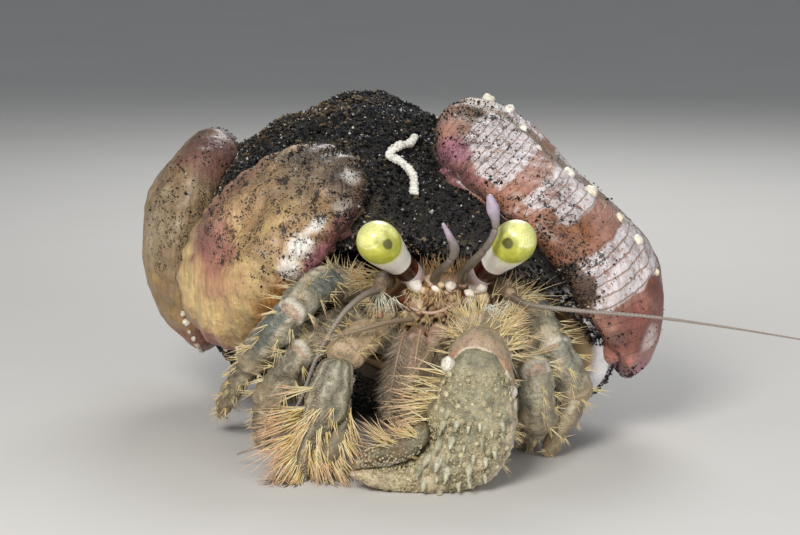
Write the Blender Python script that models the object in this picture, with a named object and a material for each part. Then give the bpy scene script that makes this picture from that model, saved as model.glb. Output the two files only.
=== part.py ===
"""Anemone hermit crab at life size: the crab, the snail shell it lives in and the anemones it wears on the shell.

Lengths here are in millimetres and become metres when an object is made. The crab looks along -Y, Z is up and
the floor is z = 0. Left and right in a name are the crab's own, so its left side lies towards +X.
"""

import math

import bmesh
import bpy
import numpy as np
from mathutils import Vector

MM = 0.001
GAP = 0.3  # clearance between neighbouring pieces
FOOT_GAP = 1.0  # clearance under a broad foot, whose facets cut a little into the curve they follow

# The origin lies on the floor under the middle of the whole model.
ORIGIN = np.array([8.2, 24.2, 0.0])

# Shell: a rounded last whorl, its swollen mouth and a conical spire, all seen from one centre.
SHELL_CENTRE = np.array([-1.0, 34.0, 21.6])
WHORL_CENTRE = np.array([-4.6, 34.0, 20.2])
WHORL_RADII = np.array([23.8, 24.0, 20.8])
MOUTH_CENTRE = np.array([7.4, 21.0, 17.5])
MOUTH_RADII = np.array([20.4, 17.0, 15.0])
SPIRE_AXIS = np.array([-0.66, 0.72, 0.21])
SPIRE_HEIGHT = 43.0
SPIRE_HALF_ANGLE = math.radians(30.0)
JOIN_SHARPNESS = 11.0
# The edge of its mouth, a tilted oval that flares from the whorl, and the hollow behind it.
RIM_CENTRE = np.array([6.3, 7.4, 16.2])
RIM_LONG = 21.6
RIM_SHORT = 10.4
RIM_TILT = math.radians(-17.0)
RIM_SET_BACK = 2.2
FLARE_FROM = 0.80
LIP_THICKNESS = 1.8
HOLLOW_END = np.array([-6.0, 40.0, 21.0])
# Lumps of the sand crust on the bare shell: how far apart their tops are, and how high they rise.
CRUST_SPACING = 7.8
CRUST_HEIGHT = 0.5
CRUST_RADIUS = 22.0

# Anemones: where each one's middle sits, its spread over the shell in degrees, its turn and its height.
ANEMONES = {
    "anemone_front": {"toward": (-20.2, 9.2, 27.6), "spread": (34.0, 19.0), "turn": 54.0, "rise": 6.8, "lean": 0.0},
    "anemone_right": {"toward": (-32.0, 37.0, 23.0), "spread": (32.0, 22.0), "turn": 92.0, "rise": 6.4, "lean": 0.25},
    "anemone_left": {"toward": (23.4, 19.8, 32.0), "spread": (43.0, 26.5), "turn": 107.0, "rise": 7.3, "lean": 0.28},
    "anemone_back": {"toward": (16.0, 62.0, 30.0), "spread": (27.0, 23.0), "turn": 20.0, "rise": 7.0, "lean": 0.0},
}

# Trunk of the crab.
CARAPACE_FRONT = np.array([5.9, 7.4, 20.4])
CARAPACE_BACK = np.array([4.6, 24.5, 17.4])

EYE_STALK_RADIUS = 1.85
EYE_RADII = (2.6, 2.6, 3.3)
EYES = {
    "right": {"base": (1.8, 4.6, 23.0), "tip": (-2.6, -3.0, 28.6)},
    "left": {"base": (9.9, 4.6, 22.8), "tip": (14.1, -3.0, 28.7)},
}


def unit(v):
    v = np.asarray(v, float)
    return v / np.linalg.norm(v, axis=-1, keepdims=True)


def smooth_step(x, low, high):
    t = np.clip((x - low) / (high - low), 0.0, 1.0)
    return t * t * (3.0 - 2.0 * t)


def smooth_rows(rows, count):
    """Catmull-Rom curve through the rows, read at count even steps."""
    rows = np.asarray(rows, float)
    padded = np.vstack([2 * rows[0] - rows[1], rows, 2 * rows[-1] - rows[-2]])
    at = np.linspace(0.0, len(rows) - 1.0, count)
    i = np.minimum(at.astype(int), len(rows) - 2)
    t = (at - i)[:, None]
    a, b, c, d = (padded[i + k] for k in range(4))
    return 0.5 * (2 * b + (c - a) * t + (2 * a - 5 * b + 4 * c - d) * t**2 + (3 * b - a - 3 * c + d) * t**3)


# ---------------------------------------------------------------- materials and objects


def material(name, colour, roughness):
    made = bpy.data.materials.get(name) or bpy.data.materials.new(name)
    made.use_nodes = True
    shader = made.node_tree.nodes["Principled BSDF"]
    shader.inputs["Base Color"].default_value = (*colour, 1.0)
    shader.inputs["Roughness"].default_value = roughness
    return made


FINISHES = {
    "shell": ((0.075, 0.070, 0.062), 0.95),
    "anemone": ((0.62, 0.42, 0.26), 0.6),
    "anemone_striped": ((0.66, 0.42, 0.38), 0.6),
    "crust": ((0.36, 0.33, 0.24), 0.6),
    "joint": ((0.62, 0.46, 0.34), 0.55),
    "eye": ((0.72, 0.74, 0.10), 0.2),
    "stalk": ((0.85, 0.80, 0.62), 0.4),
    "feeler": ((0.34, 0.29, 0.24), 0.5),
    "tube": ((0.85, 0.84, 0.76), 0.7),
}


def new_object(name, bm, finish):
    """The bmesh, in millimetres, as a node in metres about the model's origin."""
    bmesh.ops.translate(bm, verts=bm.verts, vec=Vector(-ORIGIN))
    bmesh.ops.scale(bm, verts=bm.verts, vec=(MM, MM, MM))
    bmesh.ops.recalc_face_normals(bm, faces=bm.faces)
    mesh = bpy.data.meshes.new(name)
    bm.to_mesh(mesh)
    bm.free()
    mesh.shade_smooth()
    mesh.materials.append(material(finish, *FINISHES[finish]))
    made = bpy.data.objects.new(name, mesh)
    bpy.context.scene.collection.objects.link(made)
    return made


def skin_of(rings, poles=None):
    """A closed bmesh over rings of points, an array (rings, sides, 3), with flat ends or a pole point at each end."""
    bm = bmesh.new()
    sides = rings.shape[1]
    grid = [[bm.verts.new(p) for p in ring] for ring in rings]
    for low, high in zip(grid, grid[1:]):
        for k in range(sides):
            n = (k + 1) % sides
            bm.faces.new((low[k], low[n], high[n], high[k]))
    for end, ring in enumerate((grid[0], grid[-1])):
        if poles is None:
            bm.faces.new(ring)
            continue
        pole = bm.verts.new(poles[end])
        for k in range(sides):
            bm.faces.new((ring[k], ring[(k + 1) % sides], pole))
    return bm


# ---------------------------------------------------------------- shell


def ellipsoid_exit(directions, start, centre, radii):
    """How far a ray from start runs before it leaves the ellipsoid, and 0 where it misses."""
    d = directions / radii
    o = (start - centre) / radii
    a = (d * d).sum(-1)
    b = (d * o).sum(-1)
    c = (o * o).sum() - 1.0
    return np.maximum((-b + np.sqrt(np.maximum(b * b - a * c, 0.0))) / a, 0.0)


def whorl_radius(directions):
    """Distance of the shell's outer face from SHELL_CENTRE along unit directions, before its mouth flares."""
    axis = unit(SPIRE_AXIS)
    whorl = ellipsoid_exit(directions, SHELL_CENTRE, WHORL_CENTRE, WHORL_RADII)
    mouth = ellipsoid_exit(directions, SHELL_CENTRE, MOUTH_CENTRE, MOUTH_RADII)
    angle = np.arccos(np.clip(directions @ axis, -1.0, 1.0))
    slope = np.sin(np.minimum(angle + SPIRE_HALF_ANGLE, math.pi / 2))
    cone = SPIRE_HEIGHT * math.sin(SPIRE_HALF_ANGLE) / slope
    cone *= 1.0 - 0.45 * smooth_step(angle, math.radians(50), math.radians(110))
    k = JOIN_SHARPNESS
    return (whorl**k + mouth**k + cone**k) ** (1.0 / k)


def rim_points(turns):
    """Points round the outer edge of the mouth."""
    along = RIM_LONG * np.cos(turns)
    over = RIM_SHORT * np.sin(turns)
    return np.stack([
        RIM_CENTRE[0] + along * math.cos(RIM_TILT) - over * math.sin(RIM_TILT),
        RIM_CENTRE[1] + RIM_SET_BACK * np.cos(turns) ** 2,
        RIM_CENTRE[2] + along * math.sin(RIM_TILT) + over * math.cos(RIM_TILT),
    ], axis=-1)


def rim_frame():
    """The spire's direction, two directions across it, and a table of the rim by its turn about the spire."""
    points = rim_points(np.linspace(0.0, 2 * math.pi, 721)[:-1])
    distance = np.linalg.norm(points - SHELL_CENTRE, axis=1)
    directions = unit(points - SHELL_CENTRE)
    back = unit(SPIRE_AXIS)
    side = unit(np.cross(back, (0.0, 0.0, 1.0)))
    over = np.cross(side, back)
    turn = np.arctan2(directions @ over, directions @ side)
    table = np.column_stack([turn, np.arccos(directions @ back), distance - whorl_radius(directions)])
    return back, side, over, table[np.argsort(table[:, 0])]


RIM = rim_frame()


def rim_at(turn):
    """The rim's angle from the spire, and how far it flares past the whorl, at a turn about the spire."""
    table = RIM[3]
    return tuple(np.interp(turn, table[:, 0], table[:, k], period=2 * math.pi) for k in (1, 2))


def anemone_frame(spec):
    """The direction of an anemone's middle, and the directions of its length and width across it."""
    middle = unit(np.array(spec["toward"]) - SHELL_CENTRE)
    level = unit(np.cross((0.0, 0.0, 1.0), middle))
    steep = np.cross(middle, level)
    tilt = math.radians(spec["turn"])
    length = math.cos(tilt) * level + math.sin(tilt) * steep
    return middle, length, np.cross(middle, length)


def outline_reach(spec, turns):
    """Angle from an anemone's middle to its outline, a rounded oblong, at a turn about the middle."""
    long_spread, short_spread = (math.radians(x) for x in spec["spread"])
    total = (np.abs(np.cos(turns)) / long_spread) ** 2.4 + (np.abs(np.sin(turns)) / short_spread) ** 2.4
    return total ** (-1 / 2.4)


def bareness(directions):
    """0 where an anemone covers the shell, and 1 a little beyond its outline."""
    bare = np.ones(len(directions))
    for spec in ANEMONES.values():
        middle, length, width = anemone_frame(spec)
        angle = np.arccos(np.clip(directions @ middle, -1.0, 1.0))
        turn = np.arctan2(directions @ width, directions @ length)
        bare *= smooth_step(angle / outline_reach(spec, turn), 1.0, 1.15)
    return bare


def crust_height(directions):
    """Broad lumps of the crust: three waves that cross and shift each other."""
    x, y, z = (directions * CRUST_RADIUS * math.pi / CRUST_SPACING).T
    waves = np.sin(x + np.sin(y)) * np.cos(y + 1.0) + np.sin(y + np.sin(z)) * np.cos(z + 1.0)
    waves += np.sin(z + np.sin(x)) * np.cos(x + 1.0)
    return CRUST_HEIGHT * waves * bareness(directions)


def shell_radius(directions):
    """Distance of the shell's outer face from SHELL_CENTRE along unit directions."""
    back, side, over, _ = RIM
    angle, flare = rim_at(np.arctan2(directions @ over, directions @ side))
    share = np.arccos(np.clip(directions @ back, -1.0, 1.0)) / angle
    crust = crust_height(directions) * (1.0 - smooth_step(share, 0.86, 0.97))
    return whorl_radius(directions) + flare * smooth_step(share, FLARE_FROM, 1.0) ** 1.3 + crust


def shell_rings(sides, outer, inner):
    """Rings from the tip of the spire round the outside, over the lip and down into the hollow."""
    back, side, over, _ = RIM
    turns = np.linspace(0.0, 2 * math.pi, sides, endpoint=False)
    away = np.cos(turns)[:, None] * side + np.sin(turns)[:, None] * over
    last, _ = rim_at(turns)
    rings = []
    for share in np.linspace(0.02, 1.0, outer) ** 1.15:
        angle = (last * share)[:, None]
        directions = np.cos(angle) * back + np.sin(angle) * away
        rings.append(SHELL_CENTRE + directions * shell_radius(directions)[:, None])
    edge = rings[-1]
    middle = RIM_CENTRE
    inward = unit(middle - edge)
    rings.append(edge + inward * LIP_THICKNESS * 0.5 - back * 0.45)
    first = edge + inward * LIP_THICKNESS
    for share in np.linspace(0.0, 0.97, inner):
        narrowing = 1.0 - 0.35 * share - 0.62 * share**5
        centre = middle + (HOLLOW_END - middle) * share
        rings.append(centre + (first - middle) * narrowing)
    rings = np.array(rings)
    rings[..., 2] = np.maximum(rings[..., 2], 0.0)
    return rings


def add_shell():
    rings = shell_rings(sides=38, outer=20, inner=7)
    apex = unit(SPIRE_AXIS)
    poles = SHELL_CENTRE + apex * shell_radius(apex[None])[0], rings[-1].mean(axis=0)
    return new_object("shell", skin_of(rings, poles), "shell")


# ---------------------------------------------------------------- anemones


def anemone_rings(spec, sides, up, under):
    """Rings from the crown of an anemone down its side to its foot, then under it along the shell."""
    middle, length, width = anemone_frame(spec)
    turns = np.linspace(0.0, 2 * math.pi, sides, endpoint=False)[:, None]
    heading = np.cos(turns) * length + np.sin(turns) * width
    reach = outline_reach(spec, turns)
    lean = 1.0 + spec["lean"] * np.cos(turns)
    foot = 0.32
    last = math.acos(-foot / (1.0 - foot))
    rings = []
    for share in np.linspace(0.06, 1.0, up):
        bend = share * last
        angle = reach * math.sin(bend) ** 0.9
        height = spec["rise"] * (foot + (1.0 - foot) * math.cos(bend)) * (1 + (lean - 1) * math.sin(min(bend, 1.57)))
        directions = np.cos(angle) * middle + np.sin(angle) * heading
        rings.append(SHELL_CENTRE + directions * (shell_radius(directions)[:, None] + FOOT_GAP + np.maximum(height, 0.0)))
    foot_angle = reach * math.sin(last) ** 0.9
    for share in np.linspace(0.8, 0.12, under):
        angle = foot_angle * share
        directions = np.cos(angle) * middle + np.sin(angle) * heading
        rings.append(SHELL_CENTRE + directions * (shell_radius(directions)[:, None] + FOOT_GAP))
    return np.array(rings), middle


def add_anemones():
    for name, spec in ANEMONES.items():
        finish = "anemone_striped" if name == "anemone_left" else "anemone"
        rings, middle = anemone_rings(spec, sides=28, up=8, under=3)
        base = shell_radius(middle[None])[0] + FOOT_GAP
        poles = SHELL_CENTRE + middle * (base + spec["rise"]), SHELL_CENTRE + middle * base
        new_object(name, skin_of(rings, poles), finish)


# ---------------------------------------------------------------- limbs

# Relative girth of an article from its near end to its far end, and of a pointed toe.
ARTICLE = (0.78, 0.94, 1.0, 0.98, 1.06, 0.94)
TOE = (0.84, 1.0, 0.95, 0.80, 0.55, 0.26)
STATIONS = (0.0, 0.10, 0.35, 0.65, 0.90, 1.0)


def article_rings(start, end, wide, half_width, half_depth, girth, bow, sides):
    """Rings along one article, whose middle line bows by the vector bow halfway along."""
    start, end, bow = (np.asarray(v, float) for v in (start, end, bow))
    along = unit(end - start)
    wide = unit(np.asarray(wide, float) - (np.asarray(wide, float) @ along) * along)
    deep = np.cross(along, wide)
    turns = np.linspace(0.0, 2 * math.pi, sides, endpoint=False)[:, None]
    rings = []
    for t, g in zip(STATIONS, girth):
        middle = start + (end - start) * t + bow * 4 * t * (1 - t)
        rings.append(middle + half_width * g * np.cos(turns) * wide + half_depth * g * np.sin(turns) * deep)
    return np.array(rings)


def keep_beyond(rings, point, normal):
    """Moves what lies behind a plane up to it, so that two articles meet face to face."""
    normal = unit(normal)
    short = GAP / 2 - (rings - point) @ normal
    return rings + np.maximum(short, 0.0)[..., None] * normal


def limb(prefix, joints, names, wide, widths, depths, bows, sides=8):
    """A chain of articles through the joints, each pair parted along the plane that halves their angle.

    A chain with one joint more than it needs ends square on to that last point, and otherwise in a toe.
    """
    joints = [np.asarray(j, float) for j in joints]
    toe = len(joints) == len(names) + 1
    for i, name in enumerate(names):
        girth = TOE if toe and i == len(names) - 1 else ARTICLE
        rings = article_rings(joints[i], joints[i + 1], wide, widths[i], depths[i], girth, bows[i], sides)
        along = unit(joints[i + 1] - joints[i])
        if i > 0:
            before = unit(joints[i] - joints[i - 1])
            rings = keep_beyond(rings, joints[i], before + along)
        if i + 2 < len(joints):
            after = unit(joints[i + 2] - joints[i + 1])
            rings = keep_beyond(rings, joints[i + 1], -(along + after))
        rings[..., 2] = np.maximum(rings[..., 2], 0.0)
        new_object(f"{prefix}_{name}", skin_of(rings), "crust")


ARTICLES = ("merus", "carpus", "propodus", "dactyl")
LEGS = {
    # Hip, knee, wrist, ankle and toe tip of each walking leg.
    "leg2_right": [(0.8, 12.6, 11.2), (-7.2, 6.4, 17.0), (-12.1, -0.6, 14.6), (-16.8, 0.8, 7.6), (-17.8, 7.0, 0.3)],
    "leg3_right": [(-0.8, 17.8, 12.6), (-8.8, 4.6, 22.8), (-13.1, -2.8, 20.3), (-19.0, 2.8, 12.4), (-23.8, 14.6, 2.6)],
    "leg2_left": [(12.8, 14.2, 11.0), (14.2, 6.4, 13.2), (16.7, -0.9, 12.3), (17.6, 0.6, 4.5), (16.3, 6.4, 0.3)],
    "leg3_left": [(12.0, 18.4, 10.6), (15.6, 9.6, 19.6), (19.2, 3.4, 14.8), (22.7, 5.0, 7.4), (18.9, 2.4, 0.3)],
}
LEG_WIDTHS = (1.9, 2.2, 2.25, 1.6)
LEG_DEPTHS = (1.7, 2.0, 2.0, 1.4)


def add_legs():
    for prefix, joints in LEGS.items():
        bows = [(0, 0, 0.4), (0, -0.3, 0.4), (0, -0.4, 0.0), (0, -0.8, 0.6)]
        limb(prefix, joints, ARTICLES, (1.0, 0.2, 0.0), LEG_WIDTHS, LEG_DEPTHS, bows)


# ---------------------------------------------------------------- claws

# Each claw's hand and its moving finger: outer edge as x and z, inner edge as x and z, half thickness.
GREAT_HAND = [
    (12.0, 15.9, 7.2, 16.6, 2.2), (13.3, 12.8, 5.3, 14.0, 3.3), (13.9, 9.4, 4.2, 11.2, 3.8), (13.5, 5.6, 3.4, 8.8, 3.9),
    (11.4, 1.9, 3.4, 6.6, 3.8), (7.4, 0.0, 2.6, 4.6, 3.2), (2.0, -0.3, 0.4, 3.5, 2.2), (-2.4, 0.4, -2.6, 2.9, 1.5),
    (-5.5, 1.9, -5.6, 2.5, 0.6),
]
GREAT_FINGER = [
    (2.9, 5.4, 2.7, 8.3, 2.0), (0.6, 3.95, 0.4, 7.3, 2.1), (-1.6, 3.5, -2.0, 6.6, 1.8), (-3.6, 3.15, -4.2, 5.0, 1.3),
    (-5.3, 2.95, -5.6, 3.3, 0.5),
]
SMALL_HAND = [
    (-9.8, 14.5, -5.4, 13.7, 1.6), (-11.2, 11.6, -5.9, 10.6, 2.2), (-11.9, 8.8, -6.6, 7.9, 2.2),
    (-12.5, 6.2, -9.0, 6.1, 1.9), (-12.9, 3.6, -10.5, 4.0, 1.5), (-12.8, 1.2, -11.1, 1.9, 0.9), (-12.2, -0.1, -11.4, 0.5, 0.4),
]
SMALL_FINGER = [
    (-8.5, 5.7, -6.5, 7.3, 1.2), (-9.9, 4.0, -6.6, 5.0, 1.6), (-10.4, 2.2, -7.6, 2.6, 1.4), (-10.8, 0.9, -9.3, 0.6, 0.8),
    (-10.9, 0.2, -10.3, 0.0, 0.4),
]


def blade_rings(edges, depth, count, sides):
    """Rings of a flat form between an outer and an inner edge, thickest midway between them.

    The depth is its middle's place along Y at the two ends.
    """
    edges = np.asarray(edges, float)
    rows = smooth_rows(np.column_stack([edges, np.linspace(*depth, len(edges))]), count)
    turns = np.linspace(0.0, 2 * math.pi, sides, endpoint=False)
    rings = []
    for ox, oz, ix, iz, half, y in rows:
        middle = np.array([(ox + ix) / 2, y, (oz + iz) / 2])
        across = np.array([(ox - ix) / 2, 0.0, (oz - iz) / 2])
        ring = middle + np.cos(turns)[:, None] * across
        ring[:, 1] -= half * np.sin(turns)
        rings.append(ring)
    rings = np.array(rings)
    rings[..., 2] = np.maximum(rings[..., 2], 0.0)
    return rings


def add_claws():
    names = ("merus", "carpus")
    still = [(0, 0, 0), (0, -0.4, 0.6)]
    joints = [(9.2, 8.4, 11.2), (10.4, 2.4, 16.4), (9.9, -8.4, 15.6), (9.4, -13.0, 10.6)]
    limb("claw_left", joints, names, (1.0, 0.0, 0.0), (2.5, 3.9), (2.1, 3.2), still, sides=10)
    joints = [(2.8, 8.6, 11.6), (-3.6, 1.6, 16.2), (-7.0, -5.4, 14.8), (-8.8, -9.0, 10.6)]
    limb("claw_right", joints, names, (1.0, 0.0, 0.0), (1.9, 2.4), (1.8, 2.1), still)
    hands = {
        "claw_left_palm": (GREAT_HAND, (-11.3, -14.1), 14, 12),
        "claw_left_finger": (GREAT_FINGER, (-14.1, -14.1), 8, 10),
        "claw_right_palm": (SMALL_HAND, (-7.6, -9.4), 11, 10),
        "claw_right_finger": (SMALL_FINGER, (-9.2, -9.4), 7, 8),
    }
    for name, (edges, depth, count, sides) in hands.items():
        new_object(name, skin_of(blade_rings(edges, depth, count, sides)), "crust")


# ---------------------------------------------------------------- trunk, eyes and feelers


def add_trunk():
    stations = np.array([
        # y, middle x, middle z, half width, half height
        (6.4, 5.9, 20.2, 5.0, 2.2),
        (7.6, 5.9, 20.0, 6.4, 3.0),
        (12.0, 5.8, 19.2, 7.6, 3.9),
        (18.0, 4.6, 18.8, 8.2, 4.3),
        (23.0, 3.2, 18.6, 7.4, 4.4),
        (25.6, 2.4, 18.4, 5.2, 3.4),
    ])
    turns = np.linspace(0.0, 2 * math.pi, 16, endpoint=False)
    rings = []
    for y, x, z, half_width, half_height in stations:
        ring = np.stack([x + half_width * np.cos(turns), 0 * turns + y, z + half_height * np.sin(turns)], axis=-1)
        rings.append(ring)
    new_object("carapace", skin_of(np.array(rings)), "joint")
    keys = [(2.2, 26.2, 18.4, 4.5), (1.9, 28.2, 18.5, 4.6), (0.4, 30.6, 18.9, 3.8), (-1.4, 32.6, 19.4, 1.8)]
    rows = smooth_rows(keys, 7)
    heading = unit(np.gradient(rows[:, :3], axis=0))
    rings = []
    for (x, y, z, radius), along in zip(rows, heading):
        side = unit(np.cross(along, (0, 0, 1)))
        up = np.cross(side, along)
        turned = radius * (np.cos(turns)[:, None] * side + np.sin(turns)[:, None] * up)
        rings.append(np.array([x, y, z]) + turned)
    rings = np.array(rings)
    rings[0][:, 1] = 26.2
    new_object("abdomen", skin_of(rings), "joint")


def add_eyes():
    for side, eye in EYES.items():
        base, tip = (np.array(eye[k]) for k in ("base", "tip"))
        along = unit(tip - base)
        length = np.linalg.norm(tip - base)
        neck = tip - along * (EYE_RADII[2] * 0.45 + GAP)
        wide = unit(np.cross(along, (0, 0, 1)))
        rings = article_rings(base, neck, wide, EYE_STALK_RADIUS, EYE_STALK_RADIUS, (0.86, 0.98, 0.92, 0.98, 1.16, 1.28), (0, 0, 0), 12)
        new_object(f"eye_stalk_{side}", skin_of(rings), "stalk")
        bm = bmesh.new()
        bmesh.ops.create_uvsphere(bm, u_segments=14, v_segments=8, radius=1.0)
        bmesh.ops.scale(bm, verts=bm.verts, vec=EYE_RADII)
        for v in bm.verts:
            v.co.z = max(v.co.z, -EYE_RADII[2] * 0.45)
        turn = Vector((0, 0, 1)).rotation_difference(Vector(along))
        bmesh.ops.rotate(bm, verts=bm.verts, matrix=turn.to_matrix())
        bmesh.ops.translate(bm, verts=bm.verts, vec=Vector(tip))
        new_object(f"eye_{side}", bm, "eye")
        assert length > EYE_RADII[2]


def tube(name, points, radii, sides, finish, count):
    """A feeler or other slender round piece along a smooth line, whose thickness follows the radii."""
    rows = smooth_rows(np.column_stack([points, radii]), count)
    heading = unit(np.gradient(rows[:, :3], axis=0))
    turns = np.linspace(0.0, 2 * math.pi, sides, endpoint=False)[:, None]
    side = unit(np.cross(heading[0], (0.0, 0.3, 1.0)))
    rings = []
    for row, along in zip(rows, heading):
        side = unit(side - (side @ along) * along)
        other = np.cross(along, side)
        rings.append(row[:3] + row[3] * (np.cos(turns) * side + np.sin(turns) * other))
    new_object(name, skin_of(np.array(rings)), finish)


def add_feelers():
    tube("antennule_right", [(4.3, 3.2, 22.9), (5.1, 1.2, 24.5), (6.2, -1.0, 25.9), (6.8, -2.0, 27.6), (6.2, -2.6, 29.2), (5.3, -3.0, 31.0)],
         [0.66, 0.62, 0.54, 0.60, 0.50, 0.28], 8, "feeler", 11)
    tube("antennule_left", [(7.9, 3.2, 22.8), (8.1, 0.0, 24.6), (9.2, -3.6, 26.5), (10.6, -5.8, 28.6), (11.5, -6.6, 30.5), (11.6, -6.8, 32.0), (11.3, -6.8, 33.4), (10.9, -6.8, 35.0)],
         [0.66, 0.62, 0.56, 0.46, 0.42, 0.52, 0.80, 0.42], 8, "feeler", 15)
    tube("antenna_base_right", [(-1.6, 5.6, 22.2), (-2.2, 3.2, 22.8), (-2.6, 0.4, 22.2)], [1.1, 1.15, 0.8], 8, "crust", 5)
    tube("antenna_base_left", [(13.0, 5.6, 21.6), (13.4, 3.2, 21.8), (13.9, 0.4, 21.4)], [1.15, 1.2, 0.8], 8, "crust", 5)
    tube("antenna_left", [(14.0, -0.1, 21.3), (16.2, -1.8, 20.6), (21.8, -2.4, 20.0), (31.4, -1.0, 18.9), (41.0, 1.0, 17.2), (52.0, 3.6, 14.9)],
         [0.62, 0.52, 0.44, 0.38, 0.32, 0.26], 6, "feeler", 22)
    tube("antenna_right", [(-2.8, -0.4, 22.2), (-4.6, -2.2, 21.8), (-7.2, -3.2, 19.6), (-10.2, -3.9, 14.6), (-12.6, -4.4, 8.6), (-15.8, -4.2, 4.0), (-20.5, -2.6, 1.6)],
         [0.62, 0.52, 0.44, 0.38, 0.32, 0.28, 0.26], 6, "feeler", 22)
    tube("maxilliped_right", [(3.5, 6.4, 15.0), (2.2, 3.0, 16.0), (1.4, -0.6, 14.4), (1.2, -2.4, 10.8)], [1.1, 1.15, 0.95, 0.5], 8, "joint", 8)
    tube("maxilliped_left", [(6.5, 6.4, 15.0), (5.0, 3.0, 16.4), (4.3, -0.6, 15.0), (4.0, -2.6, 11.4)], [1.1, 1.15, 0.95, 0.5], 8, "joint", 8)


def add_worm_tube():
    """A chalky worm tube grown across the top of the shell, a little clear of it."""
    aims = [
        (2.1, 24.1, 38.6), (1.3, 21.9, 38.0), (-0.4, 19.4, 37.9), (-1.4, 18.4, 36.9), (-0.4, 17.9, 36.3), (0.9, 17.2, 35.4),
        (1.7, 16.1, 34.5), (1.9, 14.4, 33.4), (1.8, 12.8, 32.4),
    ]
    directions = unit(np.array(aims) - SHELL_CENTRE)
    points = SHELL_CENTRE + directions * (shell_radius(directions)[:, None] + 1.1)
    tube("worm_tube", points, [0.55] * len(aims), 8, "tube", 17)


def main():
    for old in list(bpy.data.objects):
        bpy.data.objects.remove(old)
    add_shell()
    add_anemones()
    add_worm_tube()
    add_trunk()
    add_eyes()
    add_feelers()
    add_legs()
    add_claws()


main()
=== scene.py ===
# %% [markdown]
# # An anemone hermit crab at life size
#
# A hermit crab is a puzzle of very different surfaces: a snail shell buried in sand grains, soft anemones
# that the crab has planted on it, jointed legs of horny plates, glassy eyes and hundreds of stiff bristles.
# One could sculpt each by hand, but here every surface is a formula with a few named sizes, so that the
# shell, the anemones lying on it and the sand lying on both all follow the same curve and always touch.
#
# The imported model is loaded first.

# %% Load the frame
import itertools
import math

import bpy
import numpy as np
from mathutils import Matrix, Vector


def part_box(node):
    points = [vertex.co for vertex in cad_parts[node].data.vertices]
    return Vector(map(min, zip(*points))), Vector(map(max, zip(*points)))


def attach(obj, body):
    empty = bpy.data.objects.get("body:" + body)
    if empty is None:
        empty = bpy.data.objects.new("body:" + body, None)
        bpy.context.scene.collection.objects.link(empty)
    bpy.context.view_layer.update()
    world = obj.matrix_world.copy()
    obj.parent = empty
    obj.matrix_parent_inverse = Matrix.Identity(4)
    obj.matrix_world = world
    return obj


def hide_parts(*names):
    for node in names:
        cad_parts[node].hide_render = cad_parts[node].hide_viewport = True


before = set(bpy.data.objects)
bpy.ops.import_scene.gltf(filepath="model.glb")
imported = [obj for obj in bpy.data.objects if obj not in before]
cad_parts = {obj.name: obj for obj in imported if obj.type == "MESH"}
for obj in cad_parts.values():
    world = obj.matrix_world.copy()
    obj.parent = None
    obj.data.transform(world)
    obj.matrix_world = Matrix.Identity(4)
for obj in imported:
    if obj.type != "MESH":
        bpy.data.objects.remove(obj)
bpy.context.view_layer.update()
print("nodes in the frame:", len(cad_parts))

# %% [markdown]
# ## Lengths and places
#
# A crab is measured in millimetres, so all shapes are worked out in millimetres about a point under the
# claws, and only turned into the metres of the frame when a mesh is made. The sizes of the shell, the
# anemones and the limbs are those that the solids were built from. Each new piece prints how far its box
# lies from that of the solids it stands for, which shows at once if a size was changed in one place and not
# in the other.

# %% Units and small helpers
MM = 0.001
ORIGIN = np.array([8.2, 24.2, 0.0])


def unit(v):
    """The vector, or each row of vectors, divided by its length."""
    v = np.asarray(v, float)
    return v / np.maximum(np.linalg.norm(v, axis=-1, keepdims=True), 1e-12)


def smooth_step(x, low, high):
    """0 below low and 1 above high, with the cubic 3t^2 - 2t^3 between them."""
    t = np.clip((np.asarray(x, float) - low) / (high - low), 0.0, 1.0)
    return t * t * (3.0 - 2.0 * t)


def bell(x, middle, width):
    """A bell-shaped hump about the middle: e to the power of minus ((x - middle) / width) squared."""
    return np.exp(-(((x - middle) / width) ** 2))


def full_turn(sides):
    """Even turns round a circle."""
    return np.linspace(0.0, 2 * math.pi, sides, endpoint=False)


def turned(angle, first, second):
    """cos(angle) first + sin(angle) second: first, turned by an angle towards second."""
    return np.cos(angle) * first + np.sin(angle) * second


def blend_to(a, b, share):
    """a where share is 0 and b where it is 1, for numbers or for rows of colours."""
    share = np.asarray(share, float)
    if np.ndim(b) and np.ndim(share):
        share = share[..., None]
    return a + (b - a) * share


def smooth_rows(rows, count):
    """Catmull-Rom curve through the rows, read at count even steps: a cubic whose slope at a row is half
    the step between its two neighbours."""
    rows = np.asarray(rows, float)
    padded = np.vstack([2 * rows[0] - rows[1], rows, 2 * rows[-1] - rows[-2]])
    at = np.linspace(0.0, len(rows) - 1.0, count)
    i = np.minimum(at.astype(int), len(rows) - 2)
    t = (at - i)[:, None]
    a, b, c, d = (padded[i + k] for k in range(4))
    return 0.5 * (2 * b + (c - a) * t + (2 * a - 5 * b + 4 * c - d) * t**2 + (3 * b - a - 3 * c + d) * t**3)


def colour(red, green, blue):
    """A colour given by its display values from 0 to 255, as linear light: each value to the power 2.2."""
    return (np.array([red, green, blue]) / 255.0) ** 2.2


# %% [markdown]
# ## Roughness that is the same on every run
#
# Living surfaces are lumpy. A random number for each point would give only fuzz, so the numbers sit on the
# corners of a lattice and are blended smoothly between them, and finer copies are added. The table of
# numbers comes from a seeded generator, so that the model is the same each time.

# %% Lattice noise
LATTICE = np.random.default_rng(11).uniform(-1.0, 1.0, (32, 32, 32))


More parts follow.
